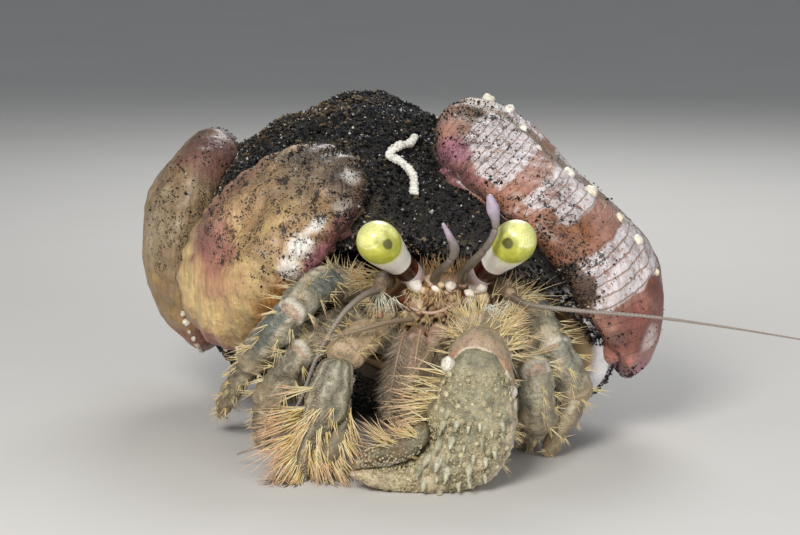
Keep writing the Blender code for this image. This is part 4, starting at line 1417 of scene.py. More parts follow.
# %% Pearls
def ball(centre, radii, heading=(0.0, 0.0, 1.0), rings=18, sides=24, **values):
    """An ellipsoid whose third radius lies along the heading. Each value given is the same all over it."""
    up = unit(heading)
    side = unit(np.cross(up, (0.31, 0.87, 0.13)))
    turns = full_turn(sides)
    bend = np.linspace(0.05, 0.95, rings) * math.pi
    flat = np.cos(turns)[:, None] * side * radii[0] + np.sin(turns)[:, None] * np.cross(up, side) * radii[1]
    bend = bend[:, None, None]
    points = np.asarray(centre) + np.sin(bend) * flat - np.cos(bend) * up * radii[2]
    poles = np.asarray(centre) - up * radii[2], np.asarray(centre) + up * radii[2]
    shape = (rings, sides)
    carried = {key: np.broadcast_to(value, shape + np.shape(value)) for key, value in values.items()}
    return grid(points, poles=poles, **carried)


def pebble(centre, radii, heading, paint, rings=20, sides=26):
    """An ellipsoid with lumps of a third of its size, mottled and darker in its dips."""
    shape = ball(centre, radii, heading, rings=rings, sides=sides)
    size = min(radii)
    lump = noise(shape["points"] * (0.7 / size), 1.0, 3)
    out = unit(shape["points"] - np.asarray(centre))
    shape["points"] = shape["points"] + out * (0.34 * size * lump)[:, None]
    tint = blend_to(np.asarray(paint), colour(112, 84, 58), 0.6 * smooth_step(-lump, 0.05, 0.6))
    shape["values"]["paint"] = tint
    return shape


def smooth_finish(name, roughness, size=0.8, strength=0.25, depth=0.05, **values):
    """A smooth painted surface with a little mottling and a faint relief."""
    made, tree, shader, place = new_finish(name, roughness=roughness, **values)
    fine = lumps(tree, place, size, 4.0, 0.6)
    shade = mottled(tree, painted(tree, "paint"), strength, fine, (0.2, 0.19, 0.18), (0.8, 0.8, 0.8))
    set_colour(tree, shader, shade)
    relief(tree, shader, (fine, depth))
    return made


def skin_at(spec, along, across):
    """Point on an anemone's skin at degrees along and across, and the direction out of the shell there. The
    share of the outline gives the bend, arcsin of the share^(1 / 0.9), and the bend gives the height."""
    middle, length, width = anemone_frame(spec)
    turn = np.arctan2(across, along)
    angle = np.radians(np.hypot(along, across))
    bend = np.arcsin(np.clip(angle / outline_reach(spec, turn), 0.0, 1.0) ** (1 / 0.9))
    lean = 1.0 + spec["lean"] * np.cos(turn) * np.sin(bend)
    height = spec["rise"] * (FOOT_SHARE + (1.0 - FOOT_SHARE) * np.cos(bend)) * lean
    directions = turned(angle[:, None], middle, turned(turn[:, None], length, width))
    over = FOOT_GAP * (1.0 - smooth_step(bend, 1.4, 2.0)) + height + skin_relief(directions)
    return SHELL_CENTRE + directions * (shell_radius(directions) + over)[:, None], directions


def pearls(name, along, across, radius, seed):
    """White warts set into the skin at the places given, no two of quite the same size."""
    random = np.random.default_rng(seed)
    centres, out = skin_at(ANEMONES[name], np.asarray(along, float), np.asarray(across, float))
    shapes = []
    for centre, direction in zip(centres, out):
        size = radius * random.uniform(0.6, 1.2)
        tint = blend_to(colour(216, 204, 174), colour(250, 246, 232), random.random())
        radii = (size, size * random.uniform(0.7, 1.3), size * random.uniform(0.7, 1.0))
        shapes.append(pebble(centre + direction * size * 0.1, radii, direction, tint, rings=16, sides=22))
    return joined(shapes)


def margin_row(name, first, last, count, inset):
    """Degrees along and across for an even row of places inside the outline, from one turn to another."""
    turn = np.radians(np.linspace(first, last, count))
    angle = np.degrees(outline_reach(ANEMONES[name], turn)) * inset
    return angle * np.cos(turn), angle * np.sin(turn)


FLESHY = 0.0008
soft = {"Subsurface_Weight": 0.2, "Subsurface_Scale": FLESHY}
pearl_skin = smooth_finish("pearl", 0.3, size=0.5, strength=0.2, **soft)
crest = np.array([33.5, 27.0, 20.6, 14.5, 6.2, 0.6, -6.2, -11.2, -17.6, -30.0])
rows_of_pearls = [
    pearls("anemone_left", crest, 8.2 - 0.0135 * np.maximum(crest + 6.0, 0.0) ** 2, 0.80, 501),
    pearls("anemone_front", *margin_row("anemone_front", 196.0, 214.0, 3, 0.97), 0.40, 503),
    pearls("anemone_right", *margin_row("anemone_right", 120.0, 226.0, 19, 0.975), 0.42, 505),
    pearls("anemone_back", *margin_row("anemone_back", 100.0, 330.0, 15, 0.985), 0.46, 507),
]
add_piece("pearls_of_the_anemones", joined(rows_of_pearls), pearl_skin)
# %% [markdown]
# ## Horny plates
#
# A crab's limb is a chain of stiff hollow tubes. Each is narrow where it turns in the one before and widest
# just short of its far end. One such article is an oval carried along a slightly bowed line. Its girth
# follows a few stations on a smooth curve, and both ends close as domes, so that the far end of each
# article looks like a knee. Every point also carries its share of the length, its turn round the article
# and its distance from the far dome's tip, because ridges, stripes and bristles follow these.

# %% One article of a limb
STATIONS = (0.0, 0.10, 0.35, 0.65, 0.90, 1.0)
ARTICLE = (0.78, 0.94, 1.0, 0.98, 1.06, 0.94)
TOE = (0.84, 1.0, 0.95, 0.80, 0.55, 0.26)


def station_curve(girth, t):
    """Girth at shares t of the length, read from a smooth curve through the stations."""
    fine = smooth_rows(np.column_stack([STATIONS, girth]), 120)
    return np.interp(t, fine[:, 0], fine[:, 1])


def article_frame(start, end, wide):
    """Direction of an article, its direction of width square to that, and the direction of its depth."""
    along = unit(np.asarray(end, float) - np.asarray(start, float))
    wide = unit(np.asarray(wide, float) - (np.asarray(wide, float) @ along) * along)
    return along, wide, np.cross(along, wide)


def article_point(article, t, turn, out=0.0):
    """Points on an article's smooth surface at shares t and turns, out millimetres beyond it, and the
    outward direction there."""
    start, end = (np.asarray(article[k], float) for k in ("start", "end"))
    _, wide, deep = article_frame(start, end, article["wide"])
    t = np.asarray(t, float)[..., None]
    bow = np.asarray(article["bow"], float)
    girth = station_curve(article["girth"], t)
    heading = np.cos(turn)[..., None] * wide * article["width"]
    heading = heading + np.sin(turn)[..., None] * deep * article["depth"]
    middle = start + (end - start) * t + bow * 4 * t * (1 - t)
    return middle + heading * girth + unit(heading) * out, unit(heading)


NEAR_DOME = 0.35
DOME_RINGS = 9
SQUARENESS = 0.88


def article_shape(article, rings=74, sides=48, far_dome=0.75, seed=0.0):
    """The article as a closed grid. Past each end the girth follows a quarter circle down to a pole,
    NEAR_DOME or far_dome of the depth long. Four soft ridges and noise shape the surface, and low folds
    cross it."""
    start, end = (np.asarray(article[k], float) for k in ("start", "end"))
    length = np.linalg.norm(end - start)
    near, far = (dome * article["depth"] / length for dome in (NEAR_DOME, far_dome))
    bend = np.linspace(0.06, 1.0, DOME_RINGS) * math.pi / 2
    between_domes = np.linspace(0.0, 1.0, rings - 2 * DOME_RINGS)[1:-1]
    shares = np.concatenate([-near * np.cos(bend), between_domes, 1.0 + far * np.cos(bend[::-1])])
    closing = np.ones(len(shares))
    closing[:DOME_RINGS] = np.sin(bend)
    closing[-DOME_RINGS:] = np.sin(bend[::-1])
    t = np.clip(shares, 0.0, 1.0)[:, None]
    turns = full_turn(sides)[None, :]
    _, wide, deep = article_frame(start, end, article["wide"])
    middle = start + (end - start) * shares[:, None] + np.asarray(article["bow"], float) * 4 * t * (1 - t)
    girth = station_curve(article["girth"], t) * closing[:, None]
    across = np.sign(np.cos(turns)) * np.abs(np.cos(turns)) ** SQUARENESS * article["width"]
    over = np.sign(np.sin(turns)) * np.abs(np.sin(turns)) ** SQUARENESS * article["depth"]
    shape = (girth * across)[..., None] * wide + (girth * over)[..., None] * deep
    points = middle[:, None, :] + shape
    push = unit(shape)
    fold = np.maximum(np.sin(shares[:, None] * length * 5.2 + 1.6 * np.cos(turns * 2)), 0.0) ** 2
    ridge = 0.09 * np.cos(4 * turns) + 0.05 * fold * np.sin(t * math.pi)
    rough = 0.26 * noise(points + seed, 1.6, 3) + 0.12 * noise(points - seed, 0.55, 2)
    lift = (ridge + rough) * article.get("rough", 1.0)
    points = points + push * lift[..., None] * closing[:, None, None]
    points[..., 2] = np.maximum(points[..., 2], 0.03)
    tip = start + (end - start) * (1.0 + far)
    reach = np.linalg.norm(points - tip, axis=-1)
    t, turns = (np.broadcast_to(value, points.shape[:2]) for value in (t, turns))
    return grid(points, t=t, turn=turns, reach=reach)


# %% [markdown]
# ## Colours of the crab
#
# The plates are grey green, bluer on the outer walking legs, with paler stripes that run lengthwise, and
# they turn tan towards the toes. The knees are marked on their faces: an orange spot in a pink disc with a
# whitish, granular rim. As on the anemones, this goes on the points as paint, and the specks are left to
# the finish.

# %% Paint for the limbs
GREY_GREEN = colour(134, 132, 112)
BLUE_GREY = colour(104, 112, 106)
PALE = colour(198, 188, 162)
SAND = colour(176, 152, 118)
BLUSH = colour(198, 172, 150)
ORANGE = colour(190, 122, 84)
CHALK = colour(222, 216, 202)


def limb_paint(shape, base, stripe, tan, knee=0.0, seed=0.0):
    """Paints one article: base, pale and dark stripes along it, a tan share towards its far end, and a disc
    of the radius knee about the tip of its far dome."""
    t, turn, reach = (shape["values"][k] for k in ("t", "turn", "reach"))
    points = shape["points"] + seed
    patchy = noise(points, 2.0, 4)
    stripes = smooth_step(np.cos(3.0 * turn + 0.9) + 0.5 * patchy, 0.35, 1.0)
    paint = blend_to(base, PALE, stripe * stripes)
    cloudy = smooth_step(noise(points, 3.2, 4), 0.05, 0.55)
    paint = blend_to(paint, colour(196, 186, 162), 0.55 * stripe * cloudy)
    cuff = smooth_step(t + 0.10 * patchy, 0.84, 0.95) * (1.0 - smooth_step(t, 0.97, 1.0))
    paint = blend_to(paint, colour(212, 200, 178), 0.6 * stripe * cuff)
    threads = smooth_step(np.cos(9.0 * turn + 2.0 * patchy + 1.0), 0.55, 0.95)
    threads = threads * smooth_step(noise(points, 1.2, 3), -0.2, 0.5)
    paint = blend_to(paint, colour(216, 210, 192), 0.75 * stripe * threads)
    shaded = smooth_step(-np.cos(3.0 * turn + 0.9) + 0.6 * patchy, 0.5, 1.2)
    paint = blend_to(paint, base * 0.40, 0.8 * stripe * shaded)
    paint = blend_to(paint, SAND, tan * smooth_step(t + 0.25 * patchy, 0.35, 1.0))
    paint = paint * (1.0 + 0.16 * patchy)[:, None]
    if knee:
        off = reach / knee + 0.14 * patchy
        paint = blend_to(paint, CHALK, 0.80 * (1.0 - smooth_step(off, 0.90, 1.30)))
        paint = blend_to(paint, BLUSH, 0.85 * (1.0 - smooth_step(off, 0.56, 0.78)))
        paint = blend_to(paint, colour(168, 128, 98), 0.7 * bell(off, 0.62, 0.09))
        near_knee = 1.0 - smooth_step(reach / knee + 0.05 * patchy, 0.12, 0.30)
        paint = blend_to(paint, ORANGE, 0.85 * near_knee)
    shape["values"]["paint"] = np.clip(paint, 0.0, 1.0)
    return shape


def crust_finish():
    """Horn with fine granules: mottled paint, dark specks in the pores and a dull wet gloss."""
    gloss = {"Coat_Weight": 0.15, "Coat_Roughness": 0.3}
    made, tree, shader, place = new_finish("crab crust", roughness=0.48, **gloss)
    fine = lumps(tree, place, 0.42, 5.0, 0.75)
    paint = mottled(tree, painted(tree, "paint"), 0.65, fine, (0.10, 0.09, 0.08), (0.90, 0.89, 0.86))
    dirty = between(tree, lumps(tree, place, 1.3, 4.0, 0.65), 0.46, 0.64)
    paint = stained(tree, paint, dirty, 0.42, colour(80, 68, 50))
    specks = minus(tree, 1.0, between(tree, cells(tree, place, 0.36), 0.10, 0.26))
    specks = times(tree, specks, between(tree, lumps(tree, place, 1.4, 3.0), 0.44, 0.58))
    paint = stained(tree, paint, specks, 0.8, colour(40, 32, 26))
    granules = minus(tree, 1.0, between(tree, cells(tree, place, 0.30), 0.0, 0.50))
    paint = stained(tree, paint, granules, 0.30, colour(232, 226, 206))
    set_colour(tree, shader, paint)
    relief(tree, shader, (granules, 0.10), (fine, 0.16))
    return made


crab_crust = crust_finish()

# %% [markdown]
# ## Walking legs
#
# Two pairs of walking legs stick out beside the claws, and two more pairs, too small to walk on, stay in
# the shell and are never seen. Each leg is a chain through its hip, knee, wrist, ankle and toe tip. Between
# two plates a rounded cuff of soft skin closes the joint.

# %% Legs
ARTICLES = ("merus", "carpus", "propodus", "dactyl")
LEGS = {
    "leg2_right": [
        (0.8, 12.6, 11.2), (-7.2, 6.4, 17.0), (-12.1, -0.6, 14.6), (-16.8, 0.8, 7.6), (-17.8, 7.0, 0.3),
    ],
    "leg3_right": [
        (-0.8, 17.8, 12.6), (-8.8, 4.6, 22.8), (-13.1, -2.8, 20.3), (-19.0, 2.8, 12.4), (-23.8, 14.6, 2.6),
    ],
    "leg2_left": [
        (12.8, 14.2, 11.0), (14.2, 6.4, 13.2), (16.7, -0.9, 12.3), (17.6, 0.6, 4.5), (16.3, 6.4, 0.3),
    ],
    "leg3_left": [
        (12.0, 18.4, 10.6), (15.6, 9.6, 19.6), (19.2, 3.4, 14.8), (22.7, 5.0, 7.4), (18.9, 2.4, 0.3),
    ],
}
LEG_WIDTHS = (1.9, 2.2, 2.25, 1.6)
LEG_DEPTHS = (1.7, 2.0, 2.0, 1.4)
LEG_BOWS = ((0, 0, 0.4), (0, -0.3, 0.4), (0, -0.4, 0.0), (0, -0.8, 0.6))
FAR_DOMES = (0.5, 0.95, 0.5, 0.35)
TAN_SHARES = (0.3, 0.25, 0.6, 0.8)
KNEE_RADIUS = 2.0
CUFF_RADII = (1.55, 1.75, 1.45)
# Each leg's tint is also set lighter or darker by how brightly that leg is lit: painted light and shade.
LEG_TINTS_AND_LIGHT = {
    "leg2_right": colour(118, 112, 94),
    "leg3_right": BLUE_GREY,
    "leg2_left": colour(150, 148, 128),
    "leg3_left": colour(122, 128, 118),
}


def chain(joints, names, wide, widths, depths, bows):
    """The articles of a limb as small records of their ends, widths, depths, girths and bows."""
    toe = len(joints) == len(names) + 1
    made = {}
    for i, name in enumerate(names):
        made[name] = {
            "start": joints[i], "end": joints[i + 1], "wide": wide, "width": widths[i], "depth": depths[i],
            "girth": TOE if toe and i == len(names) - 1 else ARTICLE, "bow": bows[i],
        }
    return made


def knee_disc(shape, size):
    """Presses a dimple into a far dome and raises a granular rim round it, by the distance from the dome's
    tip."""
    reach = shape["values"]["reach"] / size
    rim = bell(reach, 0.98, 0.16) * (0.20 + 0.16 * noise(shape["points"], 0.7, 2))
    dent = -0.22 * bell(reach, 0.0, 0.55) + 0.05 * bell(reach, 0.5, 0.08)
    shape["points"] = shape["points"] + normals_of(shape) * (rim + dent)[:, None]
    return shape


def leg_shape(name):
    """All plates of one leg and the cuffs between them."""
    base = LEG_TINTS_AND_LIGHT[name]
    articles = chain(LEGS[name], ARTICLES, (1.0, 0.2, 0.0), LEG_WIDTHS, LEG_DEPTHS, LEG_BOWS)
    shapes = []
    for i, (part, article) in enumerate(articles.items()):
        shape = article_shape(article, far_dome=FAR_DOMES[i], seed=3.0 * i + len(name))
        tint = base if i < 3 else blend_to(base, SAND, 0.6)
        knee = KNEE_RADIUS if part == "carpus" else 0.0
        shape = limb_paint(shape, tint, stripe=0.7, tan=TAN_SHARES[i], knee=knee, seed=2.0 * i)
        shapes.append(knee_disc(shape, knee) if knee else shape)
    for joint, radius in zip(LEGS[name][1:4], CUFF_RADII):
        shapes.append(ball(joint, (radius, radius, radius), paint=BLUSH * 0.8))
    return joined(shapes), articles


leg_articles = {}
for leg in LEGS:
    shape, leg_articles[leg] = leg_shape(leg)
    add_piece(f"{leg}_plates", shape, crab_crust, replaces=[f"{leg}_{part}" for part in ARTICLES])
# %% [markdown]
# ## Claws
#
# The left claw is the great one. It stands in front of the mouth like a door, and its flat outer face is
# studded with granules and pale spines. A claw's hand is too flat and bent for an article, so it is given
# by its outer and inner edges, with its thickness between them. The rows of edges are joined by a smooth
# curve, and each cross-section is an oval between the two edges.

# %% Sizes of the claws
GREAT_HAND = [
    # Outer edge as x and z, inner edge as x and z, half thickness.
    (12.0, 15.9, 7.2, 16.6, 2.2), (13.3, 12.8, 5.3, 14.0, 3.3), (13.9, 9.4, 4.2, 11.2, 3.8),
    (13.5, 5.6, 3.4, 8.8, 3.9), (11.4, 1.9, 3.4, 6.6, 3.8), (7.4, 0.0, 2.6, 4.6, 3.2),
    (2.0, -0.3, 0.4, 3.5, 2.2), (-2.4, 0.4, -2.6, 2.9, 1.5), (-5.5, 1.9, -5.6, 2.5, 0.6),
]
GREAT_FINGER = [
    (2.9, 5.4, 2.7, 8.3, 2.0), (0.6, 3.95, 0.4, 7.3, 2.1), (-1.6, 3.5, -2.0, 6.6, 1.8),
    (-3.6, 3.15, -4.2, 5.0, 1.3), (-5.3, 2.95, -5.6, 3.3, 0.5),
]
SMALL_HAND = [
    (-9.8, 14.5, -5.4, 13.7, 1.6), (-11.2, 11.6, -5.9, 10.6, 2.2), (-11.9, 8.8, -6.6, 7.9, 2.2),
    (-12.5, 6.2, -9.0, 6.1, 1.9), (-12.9, 3.6, -10.5, 4.0, 1.5), (-12.8, 1.2, -11.1, 1.9, 0.9),
    (-12.2, -0.1, -11.4, 0.5, 0.4),
]
SMALL_FINGER = [
    (-8.5, 5.7, -6.5, 7.3, 1.2), (-9.9, 4.0, -6.6, 5.0, 1.6), (-10.4, 2.2, -7.6, 2.6, 1.4),
    (-10.8, 0.9, -9.3, 0.6, 0.8), (-10.9, 0.2, -10.3, 0.0, 0.4),
]
HAND_SQUARENESS = 0.86
GREAT_DEPTH = (-11.3, -14.1)
GREAT_FINGER_DEPTH = (-14.1, -14.1)
SMALL_DEPTH = (-7.6, -9.4)
SMALL_FINGER_DEPTH = (-9.2, -9.4)


def blade_rows(edges, depth, count):
    """Smooth rows of outer x and z, inner x and z, half thickness and the middle's place along Y."""
    edges = np.asarray(edges, float)
    return smooth_rows(np.column_stack([edges, np.linspace(*depth, len(edges))]), count)


def blade_point(rows, t, turn, out=0.0):
    """Points at shares t of the hand's length and at turns round it: turn 0 is the outer edge, 90 degrees
    the face that looks forward and 180 degrees the inner edge. Also the outward direction there."""
    at = np.clip(np.asarray(t, float), 0.0, 1.0) * (len(rows) - 1)
    low = np.minimum(at.astype(int), len(rows) - 2)
    mixed = rows[low] + (rows[low + 1] - rows[low]) * (at - low)[..., None]
    ox, oz, ix, iz, half, y = (mixed[..., k] for k in range(6))
    across = np.stack([(ox - ix) / 2, 0 * ox, (oz - iz) / 2], axis=-1)
    middle = np.stack([(ox + ix) / 2, y, (oz + iz) / 2], axis=-1)
    thick = np.stack([0 * ox, -half, 0 * ox], axis=-1)
    c, s = (np.asarray(f(turn))[..., None] for f in (np.cos, np.sin))
    c, s = (np.sign(v) * np.abs(v) ** HAND_SQUARENESS for v in (c, s))
    wide = np.linalg.norm(across, axis=-1, keepdims=True)
    push = unit(c * across / wide**2 + s * thick / half[..., None] ** 2)
    return middle + across * c + thick * s + push * np.asarray(out)[..., None], push


def hand_shape(edges, depth, lumpy, seed, rings=150, sides=110):
    """A hand or finger as a closed grid, with blunt ends and granular lumps."""
    rows = blade_rows(edges, depth, 60)
    t = np.linspace(0.0, 1.0, rings)[:, None] * np.ones(sides)
    turns = np.ones(rings)[:, None] * full_turn(sides)
    points, push = blade_point(rows, t, turns)
    pebbles = np.abs(noise(points + seed, 0.95, 2))
    rough = 0.30 * noise(points + seed, 3.0, 3) + lumpy * (0.30 - pebbles) + 0.05 * noise(points, 0.4, 2)
    points = points + push * rough[..., None]
    cap = []
    for ring, inner, lift in ((points[0], points[4], 0.9), (points[-1], points[-5], 0.5)):
        end = ring.mean(axis=0)
        step = unit(end - inner.mean(axis=0))
        bend = np.linspace(0.0, 0.9, 6)[1:] * math.pi / 2
        cap.append([end + (ring - end) * math.cos(b) + step * lift * math.sin(b) for b in bend])
    points = np.concatenate([np.array(cap[0])[::-1], points, np.array(cap[1])])
    points[..., 2] = np.maximum(points[..., 2], 0.03)
    t = np.concatenate([np.zeros((5, sides)), t, np.ones((5, sides))])
    turns = np.concatenate([turns[:5], turns, turns[:5]])
    return grid(points, t=t, turn=turns), rows


# %% [markdown]
# ### Granules and spines
#
# Granules and spines are one shape, a stud: rings that shrink from a foot to a tip, with the tip pushed
# over to one side. A low stud is a granule, and a tall one is a spine that hooks towards the claw's tip.
# They are made all at once as arrays, with a few dozen faces each.

# %% Studs
def studs(feet, push, radius, height, lean, blunt=2.0, sides=8, rings=5, paint=CHALK):
    """One stud at each foot: circle k of the stud has the radius r (1 - s^blunt)^(1/2) at a share s of its
    height, and its middle moves by height s along push and by lean s^2. All studs are one shape."""
    count = len(feet)
    radius, height = (np.broadcast_to(v, count)[:, None, None, None] for v in (radius, height))
    side = unit(np.cross(push, (0.37, 0.21, 0.9)))
    other = np.cross(push, side)
    s = np.linspace(0.0, 0.97, rings)[None, :, None, None]
    turns = full_turn(sides)[None, None, :, None]
    circle = turned(turns, side[:, None, None, :], other[:, None, None, :])
    middle = feet[:, None, None, :] + push[:, None, None, :] * height * (s - 0.12)
    middle = middle + np.asarray(lean)[:, None, None, :] * s**2
    points = middle + circle * radius * np.sqrt(1.0 - s**blunt)
    tips = feet + push * height[:, 0, 0] * 0.90 + lean
    points[..., 2], tips[:, 2] = np.maximum(points[..., 2], 0.03), np.maximum(tips[:, 2], 0.04)
    return needles(points, tips, paint)


def needles(points, tips, paint=None, roots_uv=None, **values):
    """Many pointed pieces in one shape, from points (pieces, rings, sides, 3) and a tip for each. Each has
    its own small patch of the unwrap, at roots_uv if that is given."""
    count, rings, sides = points.shape[:3]
    size = rings * sides + 1
    i, k = np.meshgrid(np.arange(rings - 1), np.arange(sides), indexing="ij")
    n = (k + 1) % sides
    quads = np.stack([i * sides + k, i * sides + n, (i + 1) * sides + n, (i + 1) * sides + k], axis=-1)
    quads = quads.reshape(-1, 4)
    last = (rings - 1) * sides
    k1 = np.arange(sides)
    tris = np.stack([last + k1, last + (k1 + 1) % sides, np.full(sides, size - 1)], axis=-1)
    starts = np.arange(count)[:, None, None] * size
    share = np.repeat(np.linspace(0.0, 0.95, rings), sides)
    if roots_uv is None:
        across = math.ceil(math.sqrt(count))
        at = np.arange(count)
        roots_uv = np.stack([at % across, at // across], axis=-1) / across
    flat = np.stack([np.tile(np.arange(sides) / sides, rings), share], axis=-1)
    flat = np.vstack([flat, [0.5, 1.0]]) * PATCH
    uv = (np.asarray(roots_uv)[:, None, :] + flat[None]).reshape(-1, 2)
    quads = (quads[None] + starts).reshape(-1, 4)
    tris = (tris[None] + starts).reshape(-1, 3)
    carried = {"along": np.tile(np.append(share, 1.0), count)}
    if paint is not None:
        paint = np.broadcast_to(paint, (count, 3))
        carried["paint"] = np.repeat(paint, size, axis=0)
    for name, value in values.items():
        carried[name] = np.repeat(value, size, axis=0)
    body = np.concatenate([points.reshape(count, -1, 3), tips[:, None, :]], axis=1).reshape(-1, 3)
    shape = {"points": body, "quads": quads, "tris": tris, "quad_uv": uv[quads], "tri_uv": uv[tris]}
    return outward({**shape, "values": carried})


def scattered(rows, count, t_range, turn_range, seed):
    """Random places on a hand: points, outward directions and shares of its length."""
    random = np.random.default_rng(seed)
    t = random.uniform(*t_range, count)
    turn = np.radians(random.uniform(*turn_range, count))
    points, push = blade_point(rows, t, turn, np.zeros(count))
    return points, push, t


def apart(points, gap):
    """Which points to keep, so that each is at least the gap away from all those kept before it."""
    kept = []
    for i, point in enumerate(points):
        if all(np.linalg.norm(point - points[k]) > gap for k in kept):
            kept.append(i)
    return np.array(kept)


# %% [markdown]
# ### The great claw
#
# The hand is olive grey with a sandy lower edge and a smooth pinkish outer margin. Fine granules cover its
# face, with larger warts between them. The spines stand on its lower half, each at least a gap away from
# the next, and all hook towards the fingertips.

# %% Great claw
MOSS = colour(164, 156, 126)
SEA = colour(136, 134, 110)
WART_GAP = 0.90
SPINE_GAP = 1.40


def hand_paint(shape, main, edge, low, seed=0.0, ribs=0.0):
    """Paint for a hand: the main tint on its face, a smooth margin of the colour edge near its outer edge,
    and the colour low along its lower side and fingers. Pale and dark ribs run down it by the share ribs."""
    t, turn = (shape["values"][k] for k in ("t", "turn"))
    points = shape["points"] + seed
    patchy = noise(points, 1.8, 4)
    paint = blend_to(main, SEA, smooth_step(-patchy + 0.6 * (0.4 - t), 0.0, 0.5) * 0.8)
    paint = blend_to(paint, low, smooth_step(t + 0.16 * patchy, 0.42, 0.72) * 0.85)
    margin = smooth_step(np.cos(turn) + 0.18 * patchy, 0.66, 0.88) * smooth_step(t, 0.1, 0.25)
    paint = blend_to(paint, edge, 0.85 * margin * (1.0 - smooth_step(t, 0.7, 0.85)))
    rib = np.cos(9.0 * turn + 2.2 * patchy)
    paint = blend_to(paint, colour(204, 196, 172), ribs * smooth_step(rib, 0.45, 0.95))
    paint = blend_to(paint, colour(64, 62, 52), ribs * smooth_step(-rib, 0.45, 0.95))
    shape["values"]["paint"] = np.clip(paint * (1.0 + 0.14 * patchy)[:, None], 0.0, 1.0)
    return shape


def great_studs(rows):
    """Granules all over the face, warts between them, hooked spines and a row of knobs by the outer edge."""
    feet, push, t = scattered(rows, 1500, (0.03, 0.97), (12.0, 168.0), seed=21)
    random = np.random.default_rng(22)
    size = random.uniform(0.08, 0.20, len(feet)) * (0.8 + 0.5 * t)
    tint = blend_to(colour(160, 148, 112), colour(216, 202, 160), random.random(len(feet)) ** 2)
    granules = studs(feet, push, size, size * 0.9, push * 0.0, sides=7, rings=3, paint=tint)
    feet, push, _ = scattered(rows, 620, (0.06, 0.72), (20.0, 160.0), seed=25)
    kept = apart(feet, WART_GAP)
    feet, push = feet[kept], push[kept]
    size = random.uniform(0.20, 0.46, len(feet))
    tint = blend_to(colour(164, 154, 120), colour(208, 198, 162), random.random(len(feet)))
    warts = studs(feet, push, size, size * 0.75, push * 0.0, sides=10, rings=6, paint=tint)
    feet, push, t = scattered(rows, 500, (0.28, 0.70), (40.0, 140.0), seed=23)
    kept = apart(feet, SPINE_GAP)
    feet, push, t = feet[kept], push[kept], t[kept]
    down = np.stack([-0.30 * t, -0.5 + 0 * t, -1.0 + 0 * t], axis=-1)
    height = random.uniform(0.6, 1.25, len(feet)) * (0.7 + 0.6 * t)
    tint = blend_to(colour(168, 164, 134), colour(204, 202, 178), random.random(len(feet)))
    lean = down * (0.45 * height)[:, None]
    way = unit(push + 0.8 * down)
    spines = studs(feet, way, height * 0.44, height, lean, blunt=1.2, rings=7, sides=10, paint=tint)
    feet, push, _ = scattered(rows, 70, (0.06, 0.55), (-8.0, 16.0), seed=24)
    size = random.uniform(0.25, 0.55, len(feet))
    tint = colour(212, 196, 176)
    knobs = studs(feet, push, size, size * 0.8, push * 0.0, sides=12, rings=7, paint=tint)
    return joined([granules, spines, knobs, warts])


def fine_granules(rows, count, seed, small, large, tint):
    """Low studs all over the face of a small hand or a finger."""
    feet, push, _ = scattered(rows, count, (0.03, 0.95), (0.0, 180.0), seed)
    size = np.random.default_rng(seed + 1).uniform(small, large, len(feet))
    return studs(feet, push, size, size * 1.1, push * 0.0, sides=7, rings=3, paint=tint)


hand, great_rows = hand_shape(GREAT_HAND, GREAT_DEPTH, lumpy=0.30, seed=5.0, rings=170, sides=130)
hand = hand_paint(hand, MOSS, colour(214, 196, 170), colour(196, 178, 146))
hand = joined([hand, great_studs(great_rows)])
add_piece("great_hand", hand, crab_crust, replaces=["claw_left_palm"])
finger, finger_rows = hand_shape(GREAT_FINGER, GREAT_FINGER_DEPTH, lumpy=0.26, seed=6.0, rings=90, sides=70)
finger = hand_paint(finger, colour(112, 96, 70), colour(140, 114, 84), colour(140, 116, 82), seed=2.0)
finger = joined([finger, fine_granules(finger_rows, 260, 31, 0.10, 0.20, colour(184, 172, 142))])
add_piece("great_finger", finger, crab_crust, replaces=["claw_left_finger"])

# %% [markdown]
# ### Arm of the great claw
#
# The great hand hinges under a smooth hood, the carpus. Two white knuckles hold the hinge, one at each
# side. The hood is an article with a wide far end. Over its end lies a broad smooth lip in the shape of a
# pointed arch, which reaches further down on the outer side. The lip is an oval carried along the arch,
# from its back edge to its front edge. It is sandy grey, with orange patches where it thins towards the
# front edge and a pale rim there.

# %% Arms
ARM_LEFT = [(9.2, 8.4, 11.2), (10.4, 2.4, 16.4), (9.9, -8.4, 15.6), (9.4, -13.0, 10.6)]
ARM_RIGHT = [(2.8, 8.6, 11.6), (-3.6, 1.6, 16.2), (-7.0, -5.4, 14.8), (-8.8, -9.0, 10.6)]
ARM_BOWS = ((0, 0, 0), (0, -0.4, 0.6))
HOOD = colour(168, 154, 132)
KNUCKLE = colour(240, 234, 220)
KNUCKLES = [
    # Centre, radii, heading and colour.
    ((6.0, -12.4, 14.9), (1.0, 0.7, 1.5), (-0.35, -0.2, 1.0), KNUCKLE),
    ((13.3, -12.0, 11.8), (0.75, 0.7, 1.0), (0.2, 0.0, 1.0), KNUCKLE),
    ((13.7, -11.6, 10.1), (0.6, 0.6, 0.9), (0.2, 0.0, 1.0), KNUCKLE * 0.92),
]
HOOD_BACK = [
    (5.9, -9.2, 13.8), (6.2, -8.8, 16.0), (7.0, -8.5, 17.4), (8.3, -8.3, 18.5), (9.7, -8.2, 19.1),
    (11.0, -8.3, 18.9), (12.0, -8.6, 18.1), (12.8, -9.0, 16.7), (13.3, -9.4, 14.9), (13.6, -9.8, 13.0),
    (13.6, -10.2, 11.4),
]
HOOD_FRONT = [
    (6.4, -11.8, 14.0), (6.5, -11.9, 15.3), (7.1, -12.0, 16.5), (8.1, -12.1, 17.2), (9.2, -12.2, 17.3),
    (10.4, -12.2, 16.9), (11.4, -12.2, 16.1), (12.1, -12.2, 15.1), (12.7, -12.1, 13.8), (13.1, -12.0, 12.4),
    (13.2, -11.9, 11.2),
]


